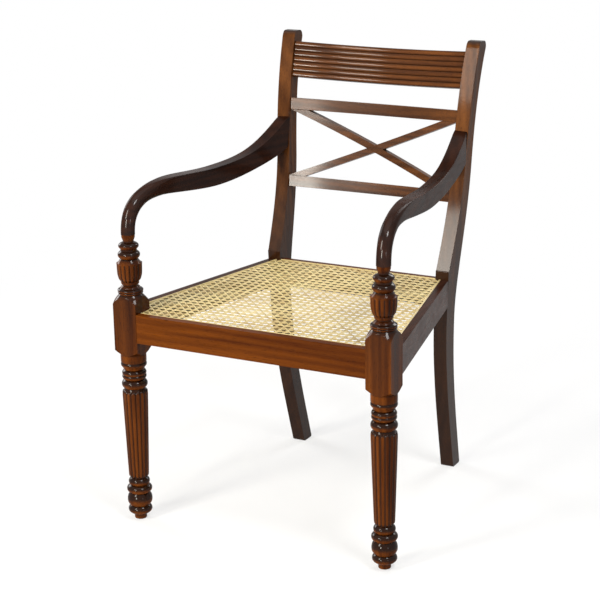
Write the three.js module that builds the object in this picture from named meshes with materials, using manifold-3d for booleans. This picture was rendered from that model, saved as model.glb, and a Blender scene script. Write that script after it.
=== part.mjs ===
// A cane-seated open armchair in mahogany: turned and reeded front legs that run up to the arms,
// sabre back legs that carry on as raked stiles, a reeded crest rail and a crossed-splat back.
// Millimetres, +Z up. X runs to the right and Y to the back, as seen from in front of the chair,
// and right and left are named from there too. The floor is at zero height, and the group is
// centred on the chair's bounding box.

import * as THREE from 'three';
import { mergeGeometries, mergeVertices } from 'three/addons/utils/BufferGeometryUtils.js';
import Module from 'manifold-3d';

const wasm = await Module();
wasm.setup();

// Fits
const fitGap = 0.3;
const overrun = 40;
const mergeTolerance = 0.001;

// Seat frame
const seatHeight = 425;
const seatRailHeight = 55.5;
const seatRailThickness = 22;
const backRailThickness = 18.3;
const railSetback = 0.6;
const railTenonThickness = 9;
const railTenonHeight = 40;
const frontTenonLength = 20;
const backTenonLength = 11;
const sideTenonFrontLength = 20;
const sideTenonBackLength = 13;
const sideTenonMargin = 5;
const splineWidth = 3.4;
const splineGrooveDepth = 5.5;
const splineCrown = 0.5;
const caneLip = 2.4;
const caneThickness = 2;

// Front legs
const frontLegHalf = 264;
const blockWidth = 50;
const blockRise = 18;
const blockDrop = 74;
const shoulderHeight = 13.5;
const turningRadius = 24.9;
const urnSpan = 117.7;
const armPinRadius = 8;
const armPinLength = 21;
const reedCount = 16;
const reedDepth = 2.2;

// Back legs
const backRise = 459;
const stileFrontPlace = 431.2;
const stileDepth = 39;
const stileWidth = 28;
const footMiddle = 174.9;
const stileLean = 0.0341;
const legSweep = 67;
const stileRake = 107;
const kneeDrop = 80;
const footChamfer = 2.5;
const ledgeDepth = 1.6;
const topFrontRadius = 10;
const topBackRadius = 13;

// Back rails and splats
const topReveal = 21;
const backBow = 23;
const crestHeight = 73;
const crestThickness = 18;
const crestInset = 8;
const crestReedCount = 7;
const crestReedDepth = 2.2;
const handGap = 40;
const crossRailThickness = 19;
const crossRailInset = 4.5;
const upperRailHeight = 23.5;
const splatWindowHeight = 135.3;
const lowerRailHeight = 22.7;
const backTenonThickness = 8;
const backTenonRoot = 6;
const mortiseWall = 1;
const splatWidth = 13.4;
const splatThickness = 18;
const splatCornerLift = 0.5;
const splatTongueThickness = 6;
const splatTongueLength = 12;
const splatTongueDepth = 6;

// Arms
const armWidth = 27;
const armRise = 71.7;
const armEndDepth = 56;
const armTenonThickness = 9;
const armTenonHeight = 26;
const armTenonLength = 14;

// Cane net
const netPitch = 31.8;
const netGapWidth = 18.6;
const netRim = 3;

// Corner blocks
const cornerBlockHeight = 30;
const cornerBlockLift = 3;
const frontCornerReach = 50;
const backCornerReach = 52;

// Facets
const turnedSides = 24;
const shoulderSides = 36;
const shoulderSteps = 4;
const beadSteps = 2;
const curveFacets = 9;
const armFacets = 4;
const armStationsPerCurve = 7;
const barStations = 10;
const splatStations = 11;
const slopePasses = 8;

// Sizes that follow from the driving ones
const blockHalf = blockWidth / 2;
const blockTopHeight = seatHeight + blockRise;
const blockFootHeight = seatHeight - blockDrop;
const shankHeight = blockFootHeight - shoulderHeight;
const collarHeight = blockTopHeight + shoulderHeight;
const armJointHeight = collarHeight + urnSpan;
const chairHeight = seatHeight + backRise;
const crestBottomHeight = chairHeight - topReveal - crestHeight;
const upperRailBottomHeight = crestBottomHeight - handGap - upperRailHeight;
const lowerRailBottomHeight = upperRailBottomHeight - splatWindowHeight - lowerRailHeight;
const seatRailBottomHeight = seatHeight - seatRailHeight;
const seatRailMiddleHeight = seatHeight - seatRailHeight / 2;
const kneeHeight = seatHeight - kneeDrop;
const stileRise = chairHeight - blockTopHeight;
const stileBackPlace = stileFrontPlace + stileDepth;
const frontRailPlace = railSetback - blockHalf;
const backRailPlace = stileFrontPlace + backRailThickness;
const splineGrooveWidth = splineWidth + 2 * fitGap;
// Short enough to pass beside the arm's tenon inside the stile
const backTenonReach = (stileWidth - armTenonThickness) / 2 - mortiseWall;
const stileInnerHalfAt = (height) => footMiddle + stileLean * height - stileWidth / 2;
const stileMiddleAt = (height) => footMiddle + stileLean * height;

// Side rails run from behind the front block to the front of the stile
const sideRailStart = new THREE.Vector2(frontLegHalf + blockHalf - railSetback, blockHalf);
const sideRailEnd = new THREE.Vector2(
  stileMiddleAt(seatHeight) + stileWidth / 2 - railSetback,
  stileFrontPlace
);
const sideRailTurn = Math.atan2(sideRailStart.x - sideRailEnd.x, sideRailEnd.y - sideRailStart.y);
const sideRailOuterAt = (place) =>
  sideRailStart.x - (place - sideRailStart.y) * Math.tan(sideRailTurn);
const sideRailInsetAt = (place, inset) => sideRailOuterAt(place) - inset / Math.cos(sideRailTurn);

// Solids and how they are joined and cut

function solidOf(geometry) {
  const bare = geometry.clone();
  bare.deleteAttribute('normal');
  bare.deleteAttribute('uv');
  const merged = mergeVertices(bare, mergeTolerance);
  const corners = merged.index.array;
  const kept = [];
  for (let first = 0; first < corners.length; first += 3) {
    const [a, b, c] = [corners[first], corners[first + 1], corners[first + 2]];
    if (a !== b && b !== c && c !== a) {
      kept.push(a, b, c);
    }
  }
  const mesh = new wasm.Mesh({
    numProp: 3,
    vertProperties: new Float32Array(merged.attributes.position.array),
    triVerts: new Uint32Array(kept),
  });
  return new wasm.Manifold(mesh);
}

function geometryOf(solid) {
  const mesh = solid.getMesh();
  const geometry = new THREE.BufferGeometry();
  geometry.setAttribute('position', new THREE.BufferAttribute(mesh.vertProperties, 3));
  geometry.setIndex(new THREE.BufferAttribute(mesh.triVerts, 1));
  return geometry;
}

function joined(first, ...others) {
  const whole = others.reduce((solid, other) => solid.add(solidOf(other)), solidOf(first));
  return geometryOf(whole);
}

function cut(blank, ...tools) {
  const rest = tools.reduce((solid, tool) => solid.subtract(solidOf(tool)), solidOf(blank));
  return geometryOf(rest);
}

function common(first, second) {
  return geometryOf(solidOf(first).intersect(solidOf(second)));
}

function mirrored(geometry) {
  const copy = geometry.clone().applyMatrix4(new THREE.Matrix4().makeScale(-1, 1, 1));
  const index = Array.from(copy.index.array);
  for (let first = 0; first < index.length; first += 3) {
    [index[first + 1], index[first + 2]] = [index[first + 2], index[first + 1]];
  }
  copy.setIndex(index);
  return copy;
}

const moved = (geometry, x, y, z) => geometry.clone().translate(x, y, z);

// An indexed copy with its corners merged, so that it can be mirrored
const indexed = (geometry) => geometryOf(solidOf(geometry));

// Forms

function box(minX, maxX, minY, maxY, minZ, maxZ) {
  const geometry = new THREE.BoxGeometry(maxX - minX, maxY - minY, maxZ - minZ);
  return geometry.translate((minX + maxX) / 2, (minY + maxY) / 2, (minZ + maxZ) / 2);
}

// A plan outline raised from one height to another
function raised(points, minZ, maxZ) {
  const shape = new THREE.Shape(points);
  const geometry = new THREE.ExtrudeGeometry(shape, { depth: maxZ - minZ, bevelEnabled: false });
  return geometry.translate(0, 0, minZ);
}

// A shape drawn in depth and height, run out sideways along X between two places
function runAcross(shape, minX, maxX, steps = 1) {
  const geometry = new THREE.ExtrudeGeometry(shape, {
    depth: maxX - minX,
    bevelEnabled: false,
    curveSegments: curveFacets,
    steps,
  });
  const across = new THREE.Matrix4().makeBasis(
    new THREE.Vector3(0, 1, 0),
    new THREE.Vector3(0, 0, 1),
    new THREE.Vector3(1, 0, 0)
  );
  return geometry.applyMatrix4(across).translate(minX, 0, 0);
}

function turned(profile, sides) {
  return new THREE.LatheGeometry(profile, sides).rotateX(Math.PI / 2);
}

// A skin stretched over closed rings of equal count, with both ends closed
function loft(rings) {
  const count = rings[0].length;
  const ends = [rings[0], rings[rings.length - 1]];
  const middles = ends.map((ring) =>
    ring.reduce((sum, point) => sum.add(point), new THREE.Vector3()).divideScalar(count)
  );
  const points = [...rings.flat(), ...middles];
  const index = [];
  for (let ring = 0; ring + 1 < rings.length; ring += 1) {
    for (let side = 0; side < count; side += 1) {
      const low = ring * count + side;
      const lowNext = ring * count + ((side + 1) % count);
      index.push(low, lowNext, lowNext + count, low, lowNext + count, low + count);
    }
  }
  const top = (rings.length - 1) * count;
  for (let side = 0; side < count; side += 1) {
    const next = (side + 1) % count;
    index.push(points.length - 2, next, side);
    index.push(points.length - 1, top + side, top + next);
  }
  const geometry = new THREE.BufferGeometry().setFromPoints(points);
  geometry.setIndex(index);
  return geometry;
}

// A smooth value read from evenly spaced shares
function readShares(shares, along) {
  const points = shares.map((share, index) => new THREE.Vector2(index, share));
  return new THREE.SplineCurve(points).getPoint(along).y;
}

// Turned work

// One bead, rolled as a shallow arc from the last point of a profile over its crest to the next
// root, where it meets its neighbour in a sharp cut
function addBead(profile, crest, root) {
  const start = profile[profile.length - 1];
  for (let step = 1 - beadSteps; step <= beadSteps; step += 1) {
    const side = step < 0 ? start : root;
    const offCrest = Math.abs(step) / beadSteps;
    profile.push(
      new THREE.Vector2(
        THREE.MathUtils.lerp(crest.x, side.x, offCrest * offCrest),
        THREE.MathUtils.lerp(crest.y, side.y, offCrest)
      )
    );
  }
}

// A reeded round piece: each reed is a flat-topped ridge between two grooves
function reededRound(stations, turn) {
  const pointsPerReed = 3;
  const total = reedCount * pointsPerReed;
  const rings = stations.map(({ radius, height, depth }) => {
    const ring = [];
    for (let point = 0; point < total; point += 1) {
      const inGroove = point % pointsPerReed === 0;
      const reach = inGroove ? radius - depth : radius;
      const angle = (point / total) * 2 * Math.PI + turn;
      ring.push(new THREE.Vector3(reach * Math.cos(angle), reach * Math.sin(angle), height));
    }
    return ring;
  });
  return loft(rings);
}

// Foot and collars of the front leg. A point is its radius as a share of the turning radius, then
// its height as a share of the shank's. A bead is the point at its crest, then the one at its root.
const pegShares = [[0, 0], [0.39, 0], [0.482, 0.009], [0.482, 0.0296], [0.57, 0.0308]];
const footBeadShares = [
  [[0.936, 0.0599], [0.763, 0.0841]],
  [[0.976, 0.1215], [0.783, 0.1624]],
  [[0.988, 0.1873], [0.719, 0.2116]],
  [[0.831, 0.2311], [0.647, 0.2545]],
];
const columnCoreShares = [[0.64, 0.26], [0.64, 0.79], [0.783, 0.8015]];
const columnReedShares = [[0.7, 0.26], [0.77, 0.278], [0.992, 0.775], [0.9, 0.79]];
const collarBeadShares = [
  [[1, 0.829], [0.767, 0.856]],
  [[0.94, 0.8738], [0.884, 0.8839]],
  [[0.94, 0.8954], [0.759, 0.915]],
];
const collarFilletShares = [[0.871, 0.931]];
const shankBeadShares = [[[1, 0.947], [0.96, 0.9594]]];
const shankShares = [[0.99, 0.964]];

// The urn and its rings above the block, with heights as shares of the way to the arm joint
const crownShare = 0.964;
const baseGrooveShares = [[0.88, 0.0246]];
const baseBeadShares = [
  [[0.964, 0.0501], [0.928, 0.0654]],
  [[0.984, 0.0858], [0.783, 0.1215]],
];
const urnNeckShares = [[0.731, 0.1419], [0.582, 0.1691], [0.679, 0.1903], [0.695, 0.2302]];
const urnReedShares = [
  [0.703, 0.2336], [0.827, 0.2676], [0.896, 0.3101],
  [0.948, 0.3611], [0.968, 0.4376], [0.98, 0.5344],
];
const urnCoreShares = [[0.73, 0.33], [0.93, 0.536], [0.779, 0.5735], [0.663, 0.6075]];
const urnRingShares = [[[0.851, 0.6738], [0.635, 0.7366]]];
const waistShares = [[0.635, 0.7723]];
const capRingShares = [[[0.779, 0.8199], [0.43, 0.8827]]];
const armSeatShares = [[0.414, 0.8997], [0.52, 0.9592], [0.52, 1]];

// A profile made of runs of points and runs of beads, in the order in which they are given
function turnedProfile(runs, span, base) {
  const at = ([radiusShare, heightShare]) =>
    new THREE.Vector2(radiusShare * turningRadius, base + heightShare * span);
  const profile = [];
  for (const run of runs) {
    for (const entry of run) {
      if (Array.isArray(entry[0])) {
        addBead(profile, at(entry[0]), at(entry[1]));
      } else {
        profile.push(at(entry));
      }
    }
  }
  return profile;
}

function lowerTurning() {
  const runs = [
    pegShares, footBeadShares, columnCoreShares, collarBeadShares,
    collarFilletShares, shankBeadShares, shankShares,
  ];
  const profile = turnedProfile(runs, shankHeight, 0);
  profile.push(new THREE.Vector2(turningRadius, shankHeight));
  profile.push(new THREE.Vector2(turningRadius, blockFootHeight));
  profile.push(new THREE.Vector2(0, blockFootHeight));
  return turned(profile, turnedSides);
}

function upperTurning() {
  const runs = [
    baseGrooveShares, baseBeadShares, urnNeckShares, urnCoreShares,
    urnRingShares, waistShares, capRingShares, armSeatShares,
  ];
  const crownRadius = crownShare * turningRadius;
  const profile = [
    new THREE.Vector2(0, blockTopHeight),
    new THREE.Vector2(crownRadius, blockTopHeight),
    new THREE.Vector2(crownRadius, collarHeight),
    ...turnedProfile(runs, urnSpan, collarHeight),
    new THREE.Vector2(armPinRadius, armJointHeight),
    new THREE.Vector2(armPinRadius, armJointHeight + armPinLength),
    new THREE.Vector2(0, armJointHeight + armPinLength),
  ];
  return turned(profile, turnedSides);
}

// Reeded parts of the leg, with reeds as deep as the piece is thick
function reeded(reedShares, span, base, turn) {
  const stations = reedShares.map(([radiusShare, heightShare]) => ({
    radius: radiusShare * turningRadius,
    height: base + heightShare * span,
    depth: reedDepth * radiusShare * radiusShare,
  }));
  return reededRound(stations, turn);
}

const column = (turn) => reeded(columnReedShares, shankHeight, 0, turn);
const urn = (turn) => reeded(urnReedShares, urnSpan, collarHeight, turn);

// The square block, its corners rounded off by the lathe above and below
function turnedBlock() {
  const cornerRadius = blockHalf * Math.SQRT2 + railSetback;
  const profile = [
    new THREE.Vector2(0, shankHeight),
    new THREE.Vector2(turningRadius, shankHeight),
    new THREE.Vector2(cornerRadius, blockFootHeight),
    new THREE.Vector2(cornerRadius, blockTopHeight),
  ];
  const crownRadius = crownShare * turningRadius;
  for (let step = 1; step <= shoulderSteps; step += 1) {
    const angle = (step / shoulderSteps) * (Math.PI / 2);
    const radius = crownRadius + (cornerRadius - crownRadius) * Math.cos(angle);
    profile.push(new THREE.Vector2(radius, blockTopHeight + shoulderHeight * Math.sin(angle)));
  }
  profile.push(new THREE.Vector2(0, collarHeight));
  const square = box(-blockHalf, blockHalf, -blockHalf, blockHalf, shankHeight, collarHeight);
  return common(square, turned(profile, shoulderSides));
}

// Seat rails

// Rail section from its outer face inwards: top strip, groove for the spline, low lip for the cane
function seatRailSection(thickness) {
  const grooveStart = thickness - caneLip - splineGrooveWidth;
  const lipHeight = seatHeight - caneThickness - fitGap;
  const shape = new THREE.Shape();
  shape.moveTo(0, seatRailBottomHeight);
  shape.lineTo(thickness, seatRailBottomHeight);
  shape.lineTo(thickness, lipHeight);
  shape.lineTo(thickness - caneLip, lipHeight);
  shape.lineTo(thickness - caneLip, seatHeight - splineGrooveDepth);
  shape.lineTo(grooveStart, seatHeight - splineGrooveDepth);
  shape.lineTo(grooveStart, seatHeight);
  shape.lineTo(0, seatHeight);
  return shape;
}

// Spline section, measured from the same outer face, with a crowned top
function splineSection(thickness) {
  const start = thickness - caneLip - splineGrooveWidth + fitGap;
  const end = start + splineWidth;
  const middle = (start + end) / 2;
  const shape = new THREE.Shape();
  shape.moveTo(start, seatHeight - splineGrooveDepth + fitGap);
  shape.lineTo(end, seatHeight - splineGrooveDepth + fitGap);
  shape.lineTo(end, seatHeight);
  shape.quadraticCurveTo(middle, seatHeight + 2 * splineCrown, start, seatHeight);
  return shape;
}

// Both seat rail tenons have their middle at the middle of the rail's height
function railTenon(minX, maxX, minY, maxY, grow) {
  const low = seatRailMiddleHeight - railTenonHeight / 2;
  const high = seatRailMiddleHeight + railTenonHeight / 2;
  return box(minX - grow, maxX + grow, minY - grow, maxY + grow, low - grow, high + grow);
}

function frontRailTenons(grow) {
  const middle = frontRailPlace + seatRailThickness / 2;
  const reach = frontLegHalf - blockHalf + frontTenonLength;
  const near = middle - railTenonThickness / 2;
  return railTenon(-reach, reach, near, near + railTenonThickness, grow);
}

function backRailTenons(grow) {
  const middle = stileFrontPlace + backRailThickness / 2;
  const reach = stileInnerHalfAt(seatRailMiddleHeight) + backTenonLength;
  const near = middle - backTenonThickness / 2;
  return railTenon(-reach, reach, near, near + backTenonThickness, grow);
}

function sideRailFrontTenon(grow) {
  const outer = sideRailStart.x - sideTenonMargin - railSetback;
  const inner = outer - railTenonThickness;
  const back = blockHalf + seatRailThickness / 2;
  return railTenon(inner, outer, blockHalf - sideTenonFrontLength, back, grow);
}

function sideRailBackTenon(grow) {
  const outer = sideRailEnd.x - sideTenonMargin;
  const inner = outer - railTenonThickness;
  const front = stileFrontPlace - seatRailThickness / 2;
  return railTenon(inner, outer, front, stileFrontPlace + sideTenonBackLength, grow);
}

function frontRail() {
  const reach = frontLegHalf - blockHalf - fitGap;
  const bar = runAcross(seatRailSection(seatRailThickness), -reach, reach);
  return joined(moved(bar, 0, frontRailPlace, 0), frontRailTenons(0));
}

function frontSpline() {
  const reach = frontLegHalf - blockHalf - fitGap;
  return moved(runAcross(splineSection(seatRailThickness), -reach, reach), 0, frontRailPlace, 0);
}

// Turns a rail that was drawn for the front so that its outer face looks to the back
const turnedToBack = (geometry) => geometry.clone().rotateZ(Math.PI).translate(0, backRailPlace, 0);

function backRail() {
  const bar = runAcross(seatRailSection(backRailThickness), -footMiddle, footMiddle);
  return joined(endsFitted(turnedToBack(bar)), backRailTenons(0));
}

function backSpline() {
  const bar = runAcross(splineSection(backRailThickness), -footMiddle, footMiddle);
  return endsFitted(turnedToBack(bar));
}

// Moves the two ends of a bar to the leaning inner faces of the stiles
function endsFitted(bar) {
  const fitted = bar.clone();
  const places = fitted.attributes.position;
  for (let point = 0; point < places.count; point += 1) {
    const half = stileInnerHalfAt(places.getZ(point)) - fitGap;
    places.setX(point, (places.getX(point) / footMiddle) * half);
  }
  return fitted;
}

// A section run along the right-hand side of the seat and cut off square at post and stile
function alongSide(section) {
  const length = sideRailEnd.distanceTo(sideRailStart) + 2 * overrun;
  const bar = runAcross(section, -overrun, length - overrun);
  bar.rotateZ(Math.PI / 2 + sideRailTurn).translate(sideRailStart.x, sideRailStart.y, 0);
  const far = 2 * frontLegHalf;
  const front = box(0, far, -far, blockHalf + fitGap, 0, chairHeight);
  const back = box(0, far, stileFrontPlace - fitGap, 2 * far, 0, chairHeight);
  return cut(bar, front, back);
}

const sideRail = () =>
  joined(
    alongSide(seatRailSection(seatRailThickness)),
    sideRailFrontTenon(0),
    sideRailBackTenon(0)
  );

const sideSpline = () => alongSide(splineSection(seatRailThickness));

// Cane net

function caneNet() {
  const edge = seatRailThickness - caneLip;
  const frontY = frontRailPlace + edge;
  const backY = backRailPlace - (backRailThickness - caneLip);
  const postHalf = frontLegHalf - blockHalf - 2 * fitGap;
  const postY = blockHalf + 2 * fitGap;
  const stileHalf = stileInnerHalfAt(seatHeight) - 2 * fitGap;
  const stileY = stileFrontPlace - 2 * fitGap;
  const halfOutline = [
    [postHalf, frontY],
    [postHalf, postY],
    [sideRailInsetAt(postY, edge), postY],
    [sideRailInsetAt(stileY, edge), stileY],
    [stileHalf, stileY],
    [stileHalf, backY],
  ];
  const outline = halfOutline.map(([x, y]) => new THREE.Vector2(x, y));
  for (const [x, y] of [...halfOutline].reverse()) {
    outline.push(new THREE.Vector2(-x, y));
  }
  const gaps = [];
  const rows = Math.floor((backY - frontY - 2 * netRim) / netPitch);
  const firstRow = (frontY + backY - (rows - 1) * netPitch) / 2;
  for (let row = 0; row < rows; row += 1) {
    const y = firstRow + row * netPitch;
    const farY = y + netGapWidth / 2;
    const nearY = y - netGapWidth / 2;
    const besidePost = nearY < postY + netRim;
    const roomAtSide = sideRailInsetAt(Math.max(farY, postY), edge);
    const room = (besidePost ? postHalf : roomAtSide) - netRim;
    const columns = Math.floor((room - netGapWidth / 2) / netPitch);
    for (let place = -columns; place <= columns; place += 1) {
      const x = place * netPitch;
      const half = netGapWidth / 2;
      gaps.push(box(x - half, x + half, nearY, farY, seatRailBottomHeight, blockTopHeight));
    }
  }
  return cut(raised(outline, seatHeight - caneThickness, seatHeight), mergeGeometries(gaps));
}

// Corner blocks, seen in plan

function frontCornerBlock() {
  const railY = frontRailPlace + seatRailThickness + fitGap;
  const postX = frontLegHalf - blockHalf - fitGap;
  const postY = blockHalf + fitGap;
  const sideInset = seatRailThickness + fitGap;
  const farY = postY + frontCornerReach;
  return cornerPrism([
    new THREE.Vector2(postX - frontCornerReach, railY),
    new THREE.Vector2(postX, railY),
    new THREE.Vector2(postX, postY),
    new THREE.Vector2(sideRailInsetAt(postY, sideInset), postY),
    new THREE.Vector2(sideRailInsetAt(farY, sideInset), farY),
  ]);
}

function backCornerBlock() {
  const railY = stileFrontPlace - fitGap;
  const sideInset = seatRailThickness + fitGap;
  const cornerX = sideRailInsetAt(railY, sideInset);
  const nearY = railY - backCornerReach;
  return cornerPrism([
    new THREE.Vector2(cornerX - backCornerReach, railY),
    new THREE.Vector2(sideRailInsetAt(nearY, sideInset), nearY),
    new THREE.Vector2(cornerX, railY),
  ]);
}

function cornerPrism(points) {
  const low = seatRailBottomHeight + cornerBlockLift;
  return raised(points, low, low + cornerBlockHeight);
}

// Back legs

// Sabre leg and raked stile in side view. Places are shares of the sweep or the rake behind the
// seat part of the leg, and heights are shares of the knee height or of the stile above the seat.
const sabreFrontShares = [[1, 0], [0.522, 0.348], [0, 0.68]];
const sabreBackShares = [[0.91, 0], [0.478, 0.333], [0, 0.62]];
const stileFrontShares = [
  [0.222, 0.118], [0.52, 0.277], [0.589, 0.469],
  [0.645, 0.628], [0.757, 0.787], [1, 0.955],
];
const stileBackShares = [
  [0.458, 0.186], [0.533, 0.469],
  [0.589, 0.624], [0.682, 0.798], [0.99, 0.967],
];

const sabreFront = ([sweep, height]) => [stileFrontPlace + sweep * legSweep, height * kneeHeight];
const sabreBack = ([sweep, height]) => [stileBackPlace + sweep * legSweep, height * kneeHeight];
const stileFront = ([rake, height]) => [
  stileFrontPlace + rake * stileRake,
  blockTopHeight + height * stileRise,
];
const stileBack = ([rake, height]) => [
  stileBackPlace + rake * stileRake,
  blockTopHeight + height * stileRise,
];

function backLegOutline() {
  const [toe, toeControl, kneeControl] = sabreFrontShares.map(sabreFront);
  const [heel, heelControl, hockControl] = sabreBackShares.map(sabreBack);
  const front = stileFrontShares.map(stileFront);
  const back = stileBackShares.map(stileBack);
  const shape = new THREE.Shape();
  shape.moveTo(toe[0], footChamfer);
  shape.bezierCurveTo(...toeControl, ...kneeControl, stileFrontPlace, kneeHeight);
  shape.lineTo(stileFrontPlace, blockTopHeight - ledgeDepth);
  shape.lineTo(stileFrontPlace + ledgeDepth, blockTopHeight);
  shape.bezierCurveTo(...front[0], ...front[1], ...front[2]);
  shape.bezierCurveTo(...front[3], ...front[4], ...front[5]);
  shape.quadraticCurveTo(
    front[5][0] + topFrontRadius / 2, chairHeight,
    front[5][0] + topFrontRadius * 1.5, chairHeight
  );
  shape.lineTo(back[4][0] - topBackRadius, chairHeight);
  shape.quadraticCurveTo(back[4][0] + railSetback, chairHeight, ...back[4]);
  shape.bezierCurveTo(...back[3], ...back[2], ...back[1]);
  shape.bezierCurveTo(...back[0], stileBackPlace, seatHeight, stileBackPlace, kneeHeight);
  shape.bezierCurveTo(...hockControl, ...heelControl, heel[0], footChamfer);
  shape.lineTo(heel[0] - footChamfer, 0);
  shape.lineTo(toe[0] + footChamfer, 0);
  return shape;
}

// The stile's front face at a height, read off the same outline
function stileFrontAt(height) {
  const points = backLegOutline().getPoints(curveFacets);
  for (let point = 0; point + 1 < points.length; point += 1) {
    const [low, high] = [points[point], points[point + 1]];
    if (low.y <= height && height <= high.y && high.y > low.y) {
      return low.x + ((height - low.y) / (high.y - low.y)) * (high.x - low.x);
    }
  }
  return stileFrontPlace;
}

// The blank of one back leg, sheared outwards as it rises, wider than the leg where asked
function backLegBlank(widening) {
  const half = stileWidth / 2 + widening;
  const lean = new THREE.Matrix4().makeShear(0, 0, 0, 0, stileLean, 0);
  return runAcross(backLegOutline(), -half, half).applyMatrix4(lean).translate(footMiddle, 0, 0);
}

// The back is hollow: between the stiles its bars bow backwards, square to their own rake
const bowAt = (across, half) => backBow * (1 - (across / half) ** 2);

function bowed(bar, half) {
  const places = bar.attributes.position;
  for (let point = 0; point < places.count; point += 1) {
    places.setY(point, places.getY(point) + bowAt(places.getX(point), half));
  }
  return bar;
}

// Rails of the back, each tilted to the rake of the stiles at its own height

function backBarPlace(bottom, height, thickness, inset) {
  const rise = new THREE.Vector2(stileFrontAt(bottom + height) - stileFrontAt(bottom), height);
  const tilt = Math.atan2(rise.x, rise.y);
  const frontY = stileFrontAt(bottom + height / 2) + inset;
  const place = new THREE.Matrix4().makeTranslation(
    0,
    frontY + (thickness / 2) * Math.cos(tilt),
    bottom + height / 2
  );
  return place.multiply(new THREE.Matrix4().makeRotationX(-tilt));
}

const crestPlace = backBarPlace(crestBottomHeight, crestHeight, crestThickness, crestInset);
const upperRailPlace = backBarPlace(
  upperRailBottomHeight,
  upperRailHeight,
  crossRailThickness,
  crossRailInset
);
const lowerRailPlace = backBarPlace(
  lowerRailBottomHeight,
  lowerRailHeight,
  crossRailThickness,
  crossRailInset
);

// A straight tenon at each end of a back bar, rooted just inside the bar's end
function backBarTenons(place, height, grow) {
  const end = stileInnerHalfAt(new THREE.Vector3().setFromMatrixPosition(place).z);
  const reach = end + backTenonReach + grow;
  const halfThickness = backTenonThickness / 2 + grow;
  const halfHeight = height / 3 + grow;
  const tenon = box(
    end - backTenonRoot, reach,
    -halfThickness, halfThickness,
    -halfHeight, halfHeight
  );
  return mergeGeometries([tenon, mirrored(tenon)]).applyMatrix4(place);
}

function backBar(shape, place, height) {
  const straight = runAcross(shape, -footMiddle, footMiddle, barStations);
  const bar = bowed(straight, footMiddle).applyMatrix4(place);
  return joined(endsFitted(bar), backBarTenons(place, height, 0));
}

function crestShape() {
  const front = -crestThickness / 2;
  const pitch = crestHeight / crestReedCount;
  const valley = front + crestReedDepth;
  const shape = new THREE.Shape();
  shape.moveTo(-front, -crestHeight / 2);
  shape.lineTo(-front, crestHeight / 2);
  for (let reed = crestReedCount; reed > 0; reed -= 1) {
    const top = reed * pitch - crestHeight / 2;
    shape.lineTo(valley, top);
    shape.quadraticCurveTo(valley - 2 * crestReedDepth, top - pitch / 2, valley, top - pitch);
  }
  return shape;
}

function crossRailShape(height) {
  const shape = new THREE.Shape();
  shape.moveTo(-crossRailThickness / 2, -height / 2);
  shape.lineTo(crossRailThickness / 2, -height / 2);
  shape.lineTo(crossRailThickness / 2, height / 2);
  shape.lineTo(-crossRailThickness / 2, height / 2);
  return shape;
}

// Crossed splats

// The plane of the splats leans from the middle of the lower rail to the middle of the upper one
const lowerMiddle = new THREE.Vector3().setFromMatrixPosition(lowerRailPlace);
const upperMiddle = new THREE.Vector3().setFromMatrixPosition(upperRailPlace);
const splatTilt = Math.atan2(upperMiddle.y - lowerMiddle.y, upperMiddle.z - lowerMiddle.z);
const windowLow = lowerRailBottomHeight + lowerRailHeight;
const windowMiddle = (windowLow + upperRailBottomHeight) / 2;
const windowHalf = (upperRailBottomHeight - windowLow) / 2 / Math.cos(splatTilt);
const splatMiddle = new THREE.Vector3(
  0,
  lowerMiddle.y + (windowMiddle - lowerMiddle.z) * Math.tan(splatTilt),
  windowMiddle
);
const splatPlace = new THREE.Matrix4()
  .makeTranslation(splatMiddle)
  .multiply(new THREE.Matrix4().makeRotationX(-splatTilt));
const splatHalfRun = stileInnerHalfAt(windowMiddle);
const splatSlope = splatSlopeFor(splatHalfRun, windowHalf - splatCornerLift);

// The slope at which a splat's outer edge meets the stile just inside the corner
function splatSlopeFor(run, rise) {
  let slope = Math.atan2(rise, run);
  for (let pass = 0; pass < slopePasses; pass += 1) {
    slope = Math.atan2(rise + splatWidth / 2 / Math.cos(slope), run);
  }
  return slope;
}

function splatBar(direction, grow, minY, maxY) {
  const reach = (splatHalfRun + stileWidth / 2) / Math.cos(splatSlope);
  const half = splatWidth / 2 + grow;
  const section = new THREE.Shape([
    new THREE.Vector2(minY, -half),
    new THREE.Vector2(maxY, -half),
    new THREE.Vector2(maxY, half),
    new THREE.Vector2(minY, half),
  ]);
  const bar = runAcross(section, -reach, reach, splatStations).rotateY(-direction * splatSlope);
  return bowed(bar, splatHalfRun);
}

// Tongues that let a splat into both rails, in the splats' own plane
function splatTongues(direction, grow) {
  return [-1, 1].map((end) => {
    const side = end * direction;
    const outer = splatHalfRun - splatTongueLength / 2;
    const middle = bowAt(outer - splatTongueLength / 2, splatHalfRun);
    const near = end * (windowHalf - splatTongueDepth / 2);
    const far = end * (windowHalf + splatTongueDepth + grow);
    const half = splatTongueThickness / 2 + grow;
    const tongue = box(
      outer - splatTongueLength - grow, outer + grow,
      middle - half, middle + half,
      Math.min(near, far), Math.max(near, far)
    );
    return side > 0 ? tongue : mirrored(tongue);
  });
}

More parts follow.
